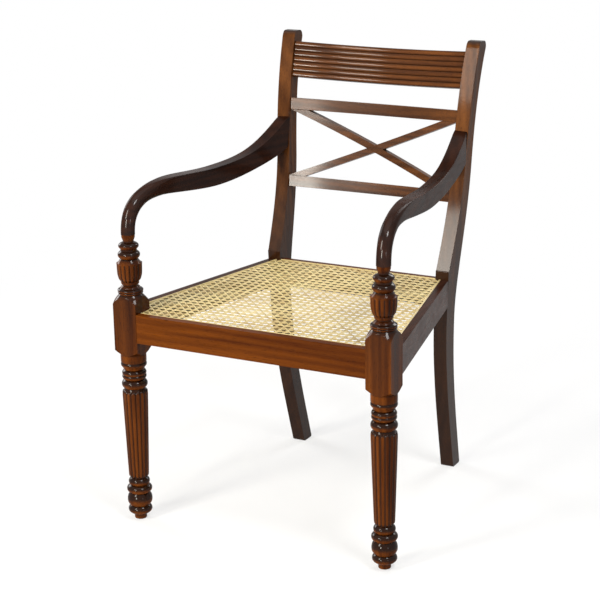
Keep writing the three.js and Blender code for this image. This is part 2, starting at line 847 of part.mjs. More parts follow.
function splat(direction) {
  const half = splatThickness / 2;
  const lap = fitGap / 2;
  const blank = splatBar(direction, 0, -half, half);
  const keepsBack = direction > 0;
  const other = keepsBack
    ? splatBar(-direction, lap, -overrun, lap)
    : splatBar(-direction, lap, -lap, overrun);
  const lapped = cut(blank, other).applyMatrix4(splatPlace);
  const rails = [
    [lowerRailPlace, lowerRailHeight],
    [upperRailPlace, upperRailHeight],
  ].map(([place, height]) => {
    const low = -height / 2 - fitGap;
    const tool = box(-frontLegHalf, frontLegHalf, -overrun, overrun, low, -low);
    return tool.applyMatrix4(place);
  });
  const stile = backLegBlank(fitGap);
  const fitted = cut(lapped, ...rails, stile, mirrored(indexed(stile)));
  const tongues = splatTongues(direction, 0).map((tongue) => tongue.applyMatrix4(splatPlace));
  return joined(fitted, ...tongues);
}

function crossRail(place, height) {
  const bar = backBar(crossRailShape(height), place, height);
  const housings = [1, -1]
    .flatMap((direction) => splatTongues(direction, fitGap))
    .map((tongue) => tongue.applyMatrix4(splatPlace));
  return cut(bar, ...housings);
}

// Arms

// The arm's middle line in its own upright plane, as shares of its run and of its rise, then the
// depth and the roundness of its section at even steps along that line
const armLineShares = [
  [0, 0], [0, 0.593], [0.048, 0.969], [0.189, 1],
  [0.269, 1.018], [0.408, 0.852], [0.528, 0.852],
  [0.697, 0.852], [0.857, 0.99], [1.01, 1.523],
];
const armDepthShares = [0.464, 0.516, 0.525, 0.6, 0.65, 0.667, 1];
const armRoundShares = [1, 1, 1, 0.96, 0.5, 0.16, 0.1, 0.1, 0.1, 0.1, 0.1, 0.1, 0.1];

const armEndHeight = armJointHeight + armLineShares[9][1] * armRise;
const armEndPlace = new THREE.Vector2(stileMiddleAt(armEndHeight), stileFrontAt(armEndHeight));
const armRun = Math.hypot(frontLegHalf - armEndPlace.x, armEndPlace.y);
const armTurn = Math.atan2(frontLegHalf - armEndPlace.x, armEndPlace.y);
const armPlace = new THREE.Matrix4()
  .makeTranslation(frontLegHalf, 0, armJointHeight + fitGap)
  .multiply(new THREE.Matrix4().makeRotationZ(armTurn));

function armLine() {
  const points = armLineShares.map(
    ([run, rise]) => new THREE.Vector3(0, run * armRun, rise * armRise)
  );
  const line = new THREE.CurvePath();
  for (let first = 0; first + 3 < points.length; first += 3) {
    line.add(new THREE.CubicBezierCurve3(...points.slice(first, first + 4)));
  }
  return line;
}

// A rounded oblong across the arm: corner points sit clear of each other even when fully round
function armRing(point, tangent, depth, roundShare) {
  const up = new THREE.Vector3(0, -tangent.z, tangent.y);
  const radius = (roundShare * Math.min(armWidth, depth)) / 2;
  const ring = [];
  for (let corner = 0; corner < 4; corner += 1) {
    for (let facet = 0; facet < armFacets; facet += 1) {
      const angle = (corner + (facet + 0.5) / armFacets) * (Math.PI / 2);
      const alongUp = Math.sign(Math.cos(angle)) * (depth / 2 - radius) + radius * Math.cos(angle);
      const across = Math.sign(Math.sin(angle)) * (armWidth / 2 - radius) + radius * Math.sin(angle);
      const place = point.clone().addScaledVector(up, alongUp);
      place.x += across;
      ring.push(place);
    }
  }
  return ring;
}

function armBlank() {
  const line = armLine();
  const rings = [];
  line.curves.forEach((curve, order) => {
    const first = order === 0 ? 0 : 1;
    for (let station = first; station <= armStationsPerCurve; station += 1) {
      const share = station / armStationsPerCurve;
      const along = (order + share) / line.curves.length;
      const depth = armEndDepth * readShares(armDepthShares, along);
      const round = readShares(armRoundShares, along);
      rings.push(armRing(curve.getPoint(share), curve.getTangent(share), depth, round));
    }
  });
  const lastCurve = line.curves[line.curves.length - 1];
  const end = lastCurve.getPoint(1).addScaledVector(lastCurve.getTangent(1), stileDepth / 2);
  const level = new THREE.Vector3(0, 1, 0);
  rings.push(armRing(end, level, armEndDepth, armRoundShares[armRoundShares.length - 1]));
  return loft(rings);
}

function armTenon(grow) {
  const half = armTenonThickness / 2 + grow;
  const endZ = armLineShares[9][1] * armRise;
  const bar = box(
    -half, half,
    armRun - armTenonLength, armRun + armTenonLength + grow,
    endZ - armTenonHeight / 2 - grow, endZ + armTenonHeight / 2 + grow
  );
  return bar;
}

function arm() {
  const toArm = armPlace.clone().invert();
  const stile = backLegBlank(overrun).translate(0, -fitGap, 0).applyMatrix4(toArm);
  const socket = new THREE.CylinderGeometry(
    armPinRadius + fitGap,
    armPinRadius + fitGap,
    2 * (armPinLength + fitGap),
    turnedSides
  ).rotateX(Math.PI / 2);
  return cut(joined(cut(armBlank(), stile), armTenon(0)), socket);
}

// Whole legs with their mortises

function frontLeg(reedTurn) {
  const whole = joined(lowerTurning(), column(reedTurn), turnedBlock(), upperTurning(), urn(reedTurn));
  const mortises = [frontRailTenons(fitGap), sideRailFrontTenon(fitGap)];
  return cut(whole, ...mortises.map((tool) => tool.translate(-frontLegHalf, 0, 0)));
}

function backLeg() {
  const mortises = [
    sideRailBackTenon(fitGap),
    backRailTenons(fitGap),
    backBarTenons(crestPlace, crestHeight, fitGap),
    backBarTenons(upperRailPlace, upperRailHeight, fitGap),
    backBarTenons(lowerRailPlace, lowerRailHeight, fitGap),
    armTenon(fitGap).applyMatrix4(armPlace),
  ];
  return cut(backLegBlank(0), ...mortises).translate(-footMiddle, 0, 0);
}

// Materials

const wood = (color) => new THREE.MeshStandardMaterial({ color, roughness: 0.28, metalness: 0 });
const mahogany = wood(0x5a2a17);
const turnedMahogany = wood(0x6b3018);
const paleWood = new THREE.MeshStandardMaterial({ color: 0x9a6a42, roughness: 0.7, metalness: 0 });
const cane = new THREE.MeshStandardMaterial({ color: 0xe0cfa0, roughness: 0.55, metalness: 0 });

// The chair

// Whichever reaches further back: the top of the stiles or the hollow of the crest rail
const stileTopBack = stileBackPlace + stileBackShares[4][0] * stileRake;
const crestBack = new THREE.Vector3(0, crestThickness / 2 + backBow, crestHeight / 2)
  .applyMatrix4(crestPlace).y;

const chair = new THREE.Group();
chair.position.y = -(Math.max(stileTopBack, crestBack) - blockHalf) / 2;

function add(name, geometry, material, x = 0, y = 0, z = 0) {
  const mesh = new THREE.Mesh(geometry, material);
  mesh.name = name;
  mesh.position.set(x, y, z);
  chair.add(mesh);
  return mesh;
}

// A right-hand piece and its mirror image
function addPair(name, geometry, material, x = 0, y = 0, z = 0, turnZ = 0) {
  add(`${name}_right`, geometry, material, x, y, z).rotation.z = turnZ;
  add(`${name}_left`, mirrored(geometry), material, -x, y, z).rotation.z = -turnZ;
}

const halfReed = Math.PI / reedCount;
addPair('front_leg', frontLeg(halfReed), turnedMahogany, frontLegHalf);
addPair('back_leg', backLeg(), mahogany, footMiddle);
addPair('arm', arm(), mahogany, frontLegHalf, 0, armJointHeight + fitGap, armTurn);
addPair('seat_rail_side', sideRail(), mahogany);
addPair('cane_spline_side', sideSpline(), cane);
addPair('corner_block_front', indexed(frontCornerBlock()), paleWood);
addPair('corner_block_back', indexed(backCornerBlock()), paleWood);
add('seat_rail_front', frontRail(), mahogany);
add('seat_rail_back', backRail(), mahogany);
add('cane_spline_front', frontSpline(), cane);
add('cane_spline_back', backSpline(), cane);
add('cane_seat', caneNet(), cane);
add('crest_rail', backBar(crestShape(), crestPlace, crestHeight), mahogany);
add('back_rail_upper', crossRail(upperRailPlace, upperRailHeight), mahogany);
add('back_rail_lower', crossRail(lowerRailPlace, lowerRailHeight), mahogany);
add('cross_splat_rising', splat(1), mahogany);
add('cross_splat_falling', splat(-1), mahogany);

export default chair;
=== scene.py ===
# %% [markdown]
# An open armchair in polished mahogany with a caned seat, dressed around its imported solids.
# The solids fix every size and joint. Each cell below gives one piece, or one finish, the form
# that a turner, a chair maker or a caner gives the real one.

# %% Load the frame
import math
import random

import bmesh
import bpy
from mathutils import Matrix, Vector
from mathutils.geometry import interpolate_bezier


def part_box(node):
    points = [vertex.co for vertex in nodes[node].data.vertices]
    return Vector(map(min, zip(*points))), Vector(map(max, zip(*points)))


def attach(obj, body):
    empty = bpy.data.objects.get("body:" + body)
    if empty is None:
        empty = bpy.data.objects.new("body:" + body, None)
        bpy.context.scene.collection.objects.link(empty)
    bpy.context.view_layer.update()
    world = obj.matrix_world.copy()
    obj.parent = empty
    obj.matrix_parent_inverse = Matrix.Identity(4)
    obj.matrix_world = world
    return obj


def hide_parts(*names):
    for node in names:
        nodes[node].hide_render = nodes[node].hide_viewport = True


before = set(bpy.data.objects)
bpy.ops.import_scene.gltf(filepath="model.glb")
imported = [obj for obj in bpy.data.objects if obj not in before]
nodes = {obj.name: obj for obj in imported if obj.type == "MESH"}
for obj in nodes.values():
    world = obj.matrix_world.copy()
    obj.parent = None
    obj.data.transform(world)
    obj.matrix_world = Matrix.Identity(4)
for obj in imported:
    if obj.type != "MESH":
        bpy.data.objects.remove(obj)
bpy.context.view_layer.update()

# %% [markdown]
# The chair is measured in millimetres from the axes of its front legs, as its maker would mark it
# out. The frame puts those axes a little way in front of its own origin, so one shift serves all.

# %% Units and the shift to the frame
MM = 0.001
leg_low, leg_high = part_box("front_leg_right")
leg_middle = (leg_low + leg_high) / 2
front_leg_half = leg_middle.x
frame_shift = Vector((0, leg_middle.y, 0))
print("front legs stand", round(front_leg_half * 2 / MM), "mm apart")

# %% [markdown]
# The photograph was taken with a long lens from a little above the arms and well to one side.
# The camera is built from its three axes, with a slight roll that the photograph also has.

# %% Camera
view_side = math.radians(27.951)
view_rise = math.radians(16.869)
view_roll = math.radians(-1.017)
view_distance = 3400.2 * MM
view_target = Vector((0, 185.1 * MM, 427.6 * MM)) + frame_shift
sensor_width = 36
picture_width = 600
scene = bpy.context.scene
focal_share = 1773.0 / picture_width


def add_object(name, data):
    made = bpy.data.objects.new(name, data)
    scene.collection.objects.link(made)
    return made


def camera_axes():
    back = Vector((
        math.sin(view_side) * math.cos(view_rise),
        -math.cos(view_side) * math.cos(view_rise),
        math.sin(view_rise),
    ))
    right = (-back).cross(Vector((0, 0, 1))).normalized()
    up = back.cross(right)
    rolled_right = right * math.cos(view_roll) + up * math.sin(view_roll)
    rolled_up = up * math.cos(view_roll) - right * math.sin(view_roll)
    return rolled_right, rolled_up, back


camera_data = bpy.data.cameras.new("camera")
camera_data.sensor_width = sensor_width
camera_data.lens = sensor_width * focal_share
camera = add_object("camera", camera_data)
camera_turn = Matrix(camera_axes()).transposed().to_4x4()
camera_place = view_target + camera_axes()[2] * view_distance
camera.matrix_world = Matrix.Translation(camera_place) @ camera_turn
bpy.context.scene.camera = camera
print("lens:", round(camera_data.lens, 1), "mm")

# %% [markdown]
# The room, the floor and every finish are trees of nodes. These helpers write such trees in short
# lines, among them noise that runs long along the trunk, as all that grew in it does.

# %% Helpers for node trees


def new_group(name, values, results):
    """A group that takes a place and some values, and puts out masks and values."""
    group = bpy.data.node_groups.new(name, "ShaderNodeTree")
    add_socket = group.interface.new_socket
    add_socket("Vector", in_out="INPUT", socket_type="NodeSocketVector")
    for socket, value in values.items():
        add_socket(socket, in_out="INPUT", socket_type="NodeSocketFloat").default_value = value
    for socket in results:
        add_socket(socket, in_out="OUTPUT", socket_type="NodeSocketFloat")
    return group, group.nodes.new("NodeGroupInput"), group.nodes.new("NodeGroupOutput")


def new_material(name):
    """A material, its tree of nodes and its shader."""
    material = bpy.data.materials.new(name)
    material.use_nodes = True
    return material, material.node_tree, material.node_tree.nodes["Principled BSDF"]


def feed(tree, node, links):
    for key, source in links.items():
        tree.links.new(source, node.inputs[key])


def set_values(node, settings):
    """Sets unlinked sockets, and the node's own properties."""
    for key, value in settings.items():
        if isinstance(key, int) or key in node.inputs:
            node.inputs[key].default_value = value
        else:
            setattr(node, key, value)


def add_node(tree, kind, settings=None, links=None):
    node = tree.nodes.new(f"ShaderNode{kind}")
    set_values(node, settings or {})
    feed(tree, node, links or {})
    return node


def stretched_noise(tree, vector, stretch, scale, detail, rough, distortion=0.0):
    """Noise that runs long along Z."""
    longer = {"operation": "MULTIPLY", 1: (1, 1, stretch)}
    long_way = add_node(tree, "VectorMath", longer, {0: vector}).outputs[0]
    settings = {"Scale": scale, "Detail": detail, "Roughness": rough, "Distortion": distortion}
    return add_node(tree, "TexNoise", settings, {"Vector": long_way}).outputs["Fac"]


def remap(tree, value, low, high, new_low=0.0, new_high=1.0, kind="LINEAR"):
    settings = {"From Min": low, "From Max": high, "To Min": new_low, "To Max": new_high}
    settings["interpolation_type"] = kind
    return add_node(tree, "MapRange", settings, {"Value": value}).outputs["Result"]


def product(tree, one, other):
    return add_node(tree, "Math", {"operation": "MULTIPLY"}, {0: one, 1: other}).outputs[0]


def scaled_sum(tree, value, factor, base):
    """The base plus the value times a plain factor."""
    settings = {"operation": "MULTIPLY_ADD", 1: factor}
    return add_node(tree, "Math", settings, {0: value, 2: base}).outputs[0]

# %% [markdown]
# A French polished chair is a mirror for its room, so the room matters as much as the wood. Its
# daylight is weak, so that the lamps shape the wood, but the camera and the gloss see it as plain
# white. Light Path tells their rays from the rest.

# %% Daylight
scene.view_settings.view_transform = "Standard"
world_light = 0.07
plain_white = (1, 1, 1, 1)


def seen_rays(tree):
    """One for rays from the camera and from glossy or clear surfaces, and otherwise zero."""
    path = add_node(tree, "LightPath")
    total = path.outputs["Is Camera Ray"]
    for kind in ("Is Glossy Ray", "Is Transmission Ray"):
        links = {0: total, 1: path.outputs[kind]}
        total = add_node(tree, "Math", {"operation": "MAXIMUM"}, links).outputs[0]
    return total


world = bpy.data.worlds.new("grey_daylight")
world.use_nodes = True
scene.world = world
sky = world.node_tree
plain_light = sky.nodes["Background"]
plain_light.inputs["Color"].default_value = plain_white
sky.links.new(remap(sky, seen_rays(sky), 0, 1, world_light), plain_light.inputs["Strength"])
print("daylight:", world_light)

# %% [markdown]
# Polish mirrors the shape of each lamp, so each is a rectangle with one task. The left one gives
# the sheen on the stiles, the tall front one and the narrow right one the sparks on the turnings.
# A high window lights the arms, one lamp hangs over the seat, and two light the back and the far
# side. The left and the front lamp are a little warm, as light indoors is.

# %% Lamps
lamp_settings = {
    "lamp_left": ((-1.05, -2.5, 2.0), (0.6, 1.2), 60),
    "lamp_front": ((-0.5, -5.1, 1.35), (0.5, 1.5), 130),
    "lamp_right": ((3.3, -2.4, 1.0), (0.22, 0.55), 8),
    "lamp_window": ((1.7, -1.0, 3.4), (0.8, 0.8), 60),
    "lamp_above": ((-0.2, 0.1, 3.0), (2.4, 2.4), 18),
    "lamp_behind": ((0.7, 3.3, 2.5), (1.4, 1.4), 60),
    "lamp_far_side": ((-3.4, 0.9, 1.7), (1.4, 1.4), 60),
}
lamp_tones = {"lamp_front": (1, 0.97, 0.88), "lamp_left": (1, 0.96, 0.87)}
lamp_target = Vector((0, 0, 0.45))

for lamp_name, (place, size, power) in lamp_settings.items():
    lamp_data = bpy.data.lights.new(lamp_name, "AREA")
    lamp_data.shape = "RECTANGLE"
    lamp_data.size, lamp_data.size_y = size
    lamp_data.energy = power
    lamp_data.color = lamp_tones.get(lamp_name, plain_white[:3])
    lamp = add_object(lamp_name, lamp_data)
    lamp.location = place
    aim = lamp_target - Vector(place)
    lamp.rotation_euler = aim.to_track_quat("-Z", "Y").to_euler()
print("lamps:", sorted(lamp_settings))

# %% [markdown]
# The floor is a photographer's roll of pale paper. Near the chair it keeps a soft shadow. Further
# off it glows up to plain white for the camera and the gloss, so that no horizon shows.

# %% Floor
floor_half = 30
floor_colour = (0.9, 0.9, 0.9, 1)
floor_roughness = 0.9
floor_gloss = 0.1
floor_fade = (0.5, 1.8)
floor_glow_share = 0.6
floor_mesh = bpy.data.meshes.new("floor")
floor_form = bmesh.new()
bmesh.ops.create_grid(floor_form, x_segments=1, y_segments=1, size=floor_half)
floor_form.to_mesh(floor_mesh)
floor_form.free()
floor = add_object("floor", floor_mesh)
floor_paint, paint, paint_shader = new_material("pale_floor")
set_values(paint_shader, {
    "Base Color": floor_colour, "Roughness": floor_roughness, "Specular IOR Level": floor_gloss,
})
floor_place = add_node(paint, "TexCoord").outputs["Object"]
distance = add_node(paint, "VectorMath", {"operation": "LENGTH"}, {0: floor_place}).outputs["Value"]
fade = remap(paint, distance, *floor_fade, floor_glow_share, kind="SMOOTHSTEP")
far_and_seen = product(paint, fade, seen_rays(paint))
floor_white = add_node(paint, "Emission", {"Strength": 1}).outputs[0]
near_or_far = add_node(
    paint, "MixShader", {}, {0: far_and_seen, 1: paint_shader.outputs[0], 2: floor_white}
)
paint.links.new(near_or_far.outputs[0], paint.nodes["Material Output"].inputs["Surface"])
floor_mesh.materials.append(floor_paint)
print("floor:", 2 * floor_half, "m wide, plain white beyond", floor_fade[1], "m")

# %% [markdown]
# Mahogany shows four things under polish: growth rings, which a saw cuts into long flames and
# stripes, soft darker streaks, fine fibres, and short dark pores. They are one node group,
# measured along its local Z, so each material only has to turn its coordinates until the grain of
# its piece lies along Z. The rings are true rings round a pith that lies a little way off.

# %% Node group for mahogany's figure
ring_weight = 0.19
narrow_weight = 0.35
figure, figure_in, figure_out = new_group("mahogany_figure", {}, ["Streaks", "Fibres", "Pores"])
along = figure_in.outputs["Vector"]
pith = add_node(
    figure, "Mapping",
    {"Location": (0.31, 0.17, 0.4), "Rotation": (0.05, -0.04, 0), "Scale": (1, 1, 0.12)},
    {"Vector": along},
)
rings = add_node(
    figure, "TexWave",
    {
        "wave_type": "RINGS", "rings_direction": "Z", "wave_profile": "SIN", "Scale": 22,
        "Distortion": 5.5, "Detail": 2, "Detail Scale": 0.6, "Detail Roughness": 0.5,
    },
    {"Vector": pith.outputs[0]},
).outputs["Fac"]
broad = stretched_noise(figure, along, stretch=0.07, scale=34, detail=3, rough=0.5, distortion=0.4)
narrow = stretched_noise(figure, along, stretch=0.03, scale=240, detail=3, rough=0.55, distortion=0.1)
fibre = stretched_noise(figure, along, stretch=0.02, scale=900, detail=2, rough=0.6)
pore = stretched_noise(figure, along, stretch=0.06, scale=1500, detail=0, rough=0.5)
ringed = scaled_sum(figure, rings, ring_weight, broad)
streaks = scaled_sum(figure, narrow, narrow_weight, ringed)
feed(figure, figure_out, {
    "Streaks": remap(figure, streaks, 0.45, 1.05),
    "Fibres": remap(figure, fibre, 0.3, 0.7),
    "Pores": remap(figure, pore, 0.68, 0.78, 0, 0.7),
})
print("group:", figure.name)

# %% [markdown]
# Hand polish is never even. It is duller where hands and cloths have rubbed it and a little
# cloudy in between. A second group puts out a roughness and a fine ripple for any polished wood.

# %% Node group for rubbed polish
ripple_weight = 0.25
polish, polish_in, polish_out = new_group(
    "rubbed_polish", {"Fibres": 0.5, "Glossy": 0.2, "Dull": 0.42}, ["Roughness", "Height"]
)
rubbed_place = polish_in.outputs["Vector"]
clouds = stretched_noise(polish, rubbed_place, stretch=1, scale=22, detail=4, rough=0.6, distortion=0.3)
scuffs = stretched_noise(polish, rubbed_place, stretch=0.2, scale=160, detail=2, rough=0.5)
cloudy = product(polish, clouds, scuffs)
glossy, dull = polish_in.outputs["Glossy"], polish_in.outputs["Dull"]
rubbed = add_node(
    polish, "MapRange", {"From Min": 0.14, "From Max": 0.42},
    {"Value": cloudy, "To Min": glossy, "To Max": dull},
)
ripple = scaled_sum(polish, polish_in.outputs["Fibres"], ripple_weight, clouds)
feed(polish, polish_out, {"Roughness": rubbed.outputs["Result"], "Height": ripple})
print("group:", polish.name)

# %% [markdown]
# One function makes every mahogany of the chair. It turns the grain to the piece, mixes the light
# and dark wood by the figure, and darkens it where the mesh marks it: painted shade in the hollows
# and on the upper sides of the turnings and the crest, stained end grain on the stiles, and a
# darker lower part of the back legs. It puts the polish on as a clear coat. The coat is thin,
# weaker still edge on, where the white room would veil the wood, and thickest where the mesh
# marks it darkest.

# %% Mahogany
grain_turns = {"up": (0, 0, 0), "across": (0, math.pi / 2, 0), "deep": (math.pi / 2, 0, 0)}
light_wood = (0.158, 0.041, 0.004)
dark_wood = (0.054, 0.012, 0.002)
pore_colour = (0.018, 0.005, 0.002)
# Near-black colour laid where the mesh marks: painted shade in hollows, stained end grain.
stain_and_shade_colour = (0.010, 0.003, 0.001)
fibre_contrast = (0.9, 1.06)
bump_strength = 0.05
bump_depth = 0.2 * MM
bare_gloss = 0.02
slant_range = (0.15, 0.45)
mix_colour_inputs = (6, 7)
mix_colour_output = 2


def mix_colour(tree, mask, low, high):
    """A colour between two, each a plain colour or a socket."""
    node = add_node(tree, "Mix", {"data_type": "RGBA"}, {"Factor": mask})
    for key, colour in zip(mix_colour_inputs, (low, high)):
        if isinstance(colour, tuple):
            node.inputs[key].default_value = (*colour, 1)
        else:
            tree.links.new(colour, node.inputs[key])
    return node.outputs[mix_colour_output]


def ripple_bump(tree, strength, height):
    settings = {"Strength": strength, "Distance": bump_depth}
    return add_node(tree, "Bump", settings, {"Height": height}).outputs[0]


def make_mahogany(
    name, grain, light=light_wood, dark=dark_wood, polish_range=(0.26, 0.36), coat=(0.04, 0.01),
    coat_roughness=0.07, hollow_coat=0.0,
):
    """Mahogany with its grain up, across or deep, and a coat for face on and for edge on."""
    material, tree, shader = new_material(name)
    place = add_node(tree, "TexCoord").outputs["Object"]
    turn = add_node(tree, "Mapping", {"Rotation": grain_turns[grain]}, {"Vector": place})
    wood = add_node(tree, "Group", {"node_tree": figure}, {"Vector": turn.outputs[0]})
    streaked = mix_colour(tree, wood.outputs["Streaks"], light, dark)
    faded = remap(tree, wood.outputs["Fibres"], 0, 1, *fibre_contrast)
    fibred = add_node(tree, "VectorMath", {"operation": "SCALE"}, {0: streaked, "Scale": faded})
    pored = mix_colour(tree, wood.outputs["Pores"], fibred.outputs[0], pore_colour)
    stain_and_shade = add_node(tree, "Attribute", {"attribute_name": "stain_and_shade"}).outputs["Fac"]
    finish = add_node(
        tree, "Group",
        {"node_tree": polish, "Glossy": polish_range[0], "Dull": polish_range[1]},
        {"Vector": turn.outputs[0], "Fibres": wood.outputs["Fibres"]},
    )
    slant = add_node(tree, "LayerWeight", {"Blend": 0.5}).outputs["Facing"]
    film = remap(tree, slant, *slant_range, *coat)
    feed(tree, shader, {
        "Base Color": mix_colour(tree, stain_and_shade, pored, stain_and_shade_colour),
        "Roughness": finish.outputs["Roughness"],
        "Normal": ripple_bump(tree, bump_strength, finish.outputs["Height"]),
        "Coat Weight": scaled_sum(tree, stain_and_shade, hollow_coat, film),
    })
    set_values(shader, {"Specular IOR Level": bare_gloss, "Coat Roughness": coat_roughness})
    return material


print("grain can run:", list(grain_turns))

# %% [markdown]
# No two parts of an old chair keep the same tone. Daylight has faded the stiles and the rails of
# the back. The arms and the side rails of the seat are painted darker, as painted shade for faces
# turned away from the lamps. The turned legs are the reddest. The crest and the lower rail have
# more gloss than the upper one.

# %% The chair's mahoganies
faded_light, faded_dark = (0.156, 0.053, 0.012), (0.040, 0.012, 0.003)
mahogany_up = make_mahogany(
    "mahogany_upright", "up", faded_light, faded_dark, coat=(0.1, 0.04), coat_roughness=0.14,
    hollow_coat=0.26,
)
rail_light, rail_dark = (0.136, 0.046, 0.011), (0.030, 0.010, 0.003)
mahogany_back = make_mahogany(
    "mahogany_back", "across", rail_light, rail_dark, coat=(0.25, 0.1), coat_roughness=0.22
)
mahogany_low_rail = make_mahogany(
    "mahogany_low_rail", "across", rail_light, rail_dark, coat=(0.48, 0.1), coat_roughness=0.19
)
mahogany_crest = make_mahogany(
    "mahogany_crest", "across", (0.160, 0.050, 0.009), (0.042, 0.012, 0.003),
    coat=(0.26, 0.06), coat_roughness=0.1,
)
mahogany_across = make_mahogany("mahogany_across", "across")
# Side rails: wood painted darker, as painted shade on faces turned from the lamps.
mahogany_shaded_side = make_mahogany("mahogany_shaded_side", "deep", (0.050, 0.015, 0.006), (0.020, 0.006, 0.003))
# Arms: wood painted darker still, as painted shade.
mahogany_shaded_arm = make_mahogany(
    "mahogany_shaded_arm", "deep", (0.034, 0.010, 0.004), (0.010, 0.0035, 0.002),
    coat=(0.32, 0.03), coat_roughness=0.1,
)
mahogany_turned = make_mahogany(
    "mahogany_turned", "up", (0.180, 0.048, 0.006), (0.042, 0.009, 0.0015),
    polish_range=(0.12, 0.22), coat=(0.05, 0.03), hollow_coat=0.21,
)
print("mahoganies:", [name for name in bpy.data.materials.keys() if name.startswith("mahogany")])

# %% [markdown]
# Cane is the bark of rattan split into flat strands. It keeps a hard straw-coloured skin with fine
# speckles, wide patches that have gone deeper with age, and a tone of its own in each strand,
# which the mesh carries as an attribute. The corner blocks and the inner faces of the seat frame
# were never polished, and their bare wood is painted nearly black as painted shade under the seat.

# %% Cane and bare wood
cane_pale = (0.84, 0.71, 0.37)
cane_deep = (0.50, 0.36, 0.14)
cane_aged = (0.60, 0.50, 0.22)
speckle_weight = 0.5
cane_bump = 0.2


def make_cane(name):
    material, tree, shader = new_material(name)
    place = add_node(tree, "TexCoord").outputs["Object"]
    tone = add_node(tree, "Attribute", {"attribute_name": "tone"}).outputs["Fac"]
    speckle = stretched_noise(tree, place, stretch=1, scale=260, detail=3, rough=0.6)
    patches = stretched_noise(tree, place, stretch=1, scale=18, detail=2, rough=0.5)
    shade = remap(tree, scaled_sum(tree, speckle, speckle_weight, tone), 0.2, 1.15)
    mixed_cane = mix_colour(tree, shade, cane_pale, cane_deep)
    aged = remap(tree, patches, 0.45, 0.75, 0, 0.35)
    feed(tree, shader, {
        "Base Color": mix_colour(tree, aged, mixed_cane, cane_aged),
        "Roughness": remap(tree, speckle, 0.3, 0.7, 0.34, 0.5),
        "Normal": ripple_bump(tree, cane_bump, speckle),
    })
    return material


cane_finish = make_cane("split_cane")
# Unpolished wood, painted nearly black as shade inside the seat frame.
inner_wood_shade = make_mahogany(
    "bare_wood_in_shade", "across", (0.014, 0.006, 0.003), (0.006, 0.003, 0.002),
    polish_range=(0.6, 0.8), coat=(0, 0),
)
print("finishes:", len(bpy.data.materials))

# %% [markdown]
# Every piece ends the same way. Its mesh is closed, its faces point outwards, and edges sharper
# than a rounded arris stay crisp. Weighted normals let broad flat faces shade flat, so that the
# narrow bevels take all of the turn. Then it rides on the chair's one body in place of its solid.

# %% Helpers that finish a piece
arris_angle = math.radians(50)
soft_angle = math.radians(35)
flat_angle = math.radians(0.5)
merge_distance = 0.01 * MM
arris_segments = 3


def finish_piece(form, name, material, replaced=()):
    bmesh.ops.recalc_face_normals(form, faces=form.faces)
    mesh = bpy.data.meshes.new(name)
    form.to_mesh(mesh)
    form.free()
    mesh.shade_smooth()
    mesh.set_sharp_from_angle(angle=arris_angle)
    mesh.materials.append(material)
    piece = add_object(name, mesh)
    flat = piece.modifiers.new("flat_faces", "WEIGHTED_NORMAL")
    flat.keep_sharp = True
    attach(piece, "root")
    if replaced:
        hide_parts(*replaced)
    print(name, "faces:", len(mesh.polygons))
    return piece


def round_edges(form, edges, width, segments):
    """Bevels the edges to a soft arris, as a scraper does before polishing."""
    bmesh.ops.bevel(
        form, geom=edges, offset=width, segments=segments, affect="EDGES", profile=0.5,
        material=-1, clamp_overlap=True,
    )


def soften(form, width, segments=2, angle=soft_angle):
    """Rounds every edge sharper than the angle."""
    sharp = [edge for edge in form.edges if edge.calc_face_angle(0) > angle]
    round_edges(form, sharp, width, segments)


def solid_copy(node):
    """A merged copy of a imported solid, with its flat faces whole again."""
    form = bmesh.new()
    form.from_mesh(nodes[node].data)
    bmesh.ops.remove_doubles(form, verts=form.verts, dist=merge_distance)
    bmesh.ops.dissolve_limit(form, angle_limit=flat_angle, verts=form.verts, edges=form.edges)
    return form


def move(form, way):
    bmesh.ops.translate(form, vec=way, verts=form.verts)


def mirror_copy(form):
    """The same form on the other side of the chair."""
    other = form.copy()
    bmesh.ops.scale(other, vec=(-1, 1, 1), verts=other.verts)
    bmesh.ops.reverse_faces(other, faces=other.faces)
    return other


def finish_pair(right, name, material, node):
    """Finishes a piece of the right-hand side together with its mirror image."""
    for side, form in {"right": right, "left": mirror_copy(right)}.items():
        finish_piece(form, f"{name}_{side}", material, [f"{node}_{side}"])


print("edges stay crisp above", round(math.degrees(arris_angle)), "degrees")

# %% [markdown]
# Each front leg is one turning. The profile is drawn as a row of beads, each from the cut before
# it over its crest to the cut after it, and spun round the leg's axis. A turner rolls the beads
# with a skew chisel, which leaves shallow arcs that meet in sharp cuts. The square seat block
# comes from the same spin: it is turned too fat there, and four flat cuts bring it square, which
# leaves its arched shoulders and chamfered crown. The cuts, the upper half of each bead and the
# crown are painted darker as painted shade, so every point carries a shade value as well.

# %% Profile of a front leg
bead_steps = 6
bead_power = 2.3
bead_shade = 0.94
dark_from = 0.25
dark_blend = 0.5
turning_beads = {
    "foot": [
        (20.2, 23.3, 28.4, 18.9), (41.0, 24.3, 54.8, 19.4),
        (63.2, 24.6, 71.4, 17.8), (78.0, 20.7, 85.9, 16.0),
    ],
    "collar": [(279.8, 24.9, 288.9, 19.0), (294.9, 23.4, 298.3, 21.9), (302.2, 23.4, 308.8, 18.8)],
    "shank": [(319.6, 24.9, 323.8, 23.6)],
    "base": [(462.4, 24.0, 464.2, 23.0), (466.6, 24.5, 470.8, 19.4)],
    "ring": [(535.8, 21.2, 543.2, 15.7)],
    "cap": [(553.0, 19.4, 560.4, 10.6)],
}
shank_top = 340.2
block_foot = 351
block_top = 443
block_half = 25
block_corner = 36.2
block_crown = 24.0
crown_start = 440
crown_bulge = 0.9
crown_steps = 10
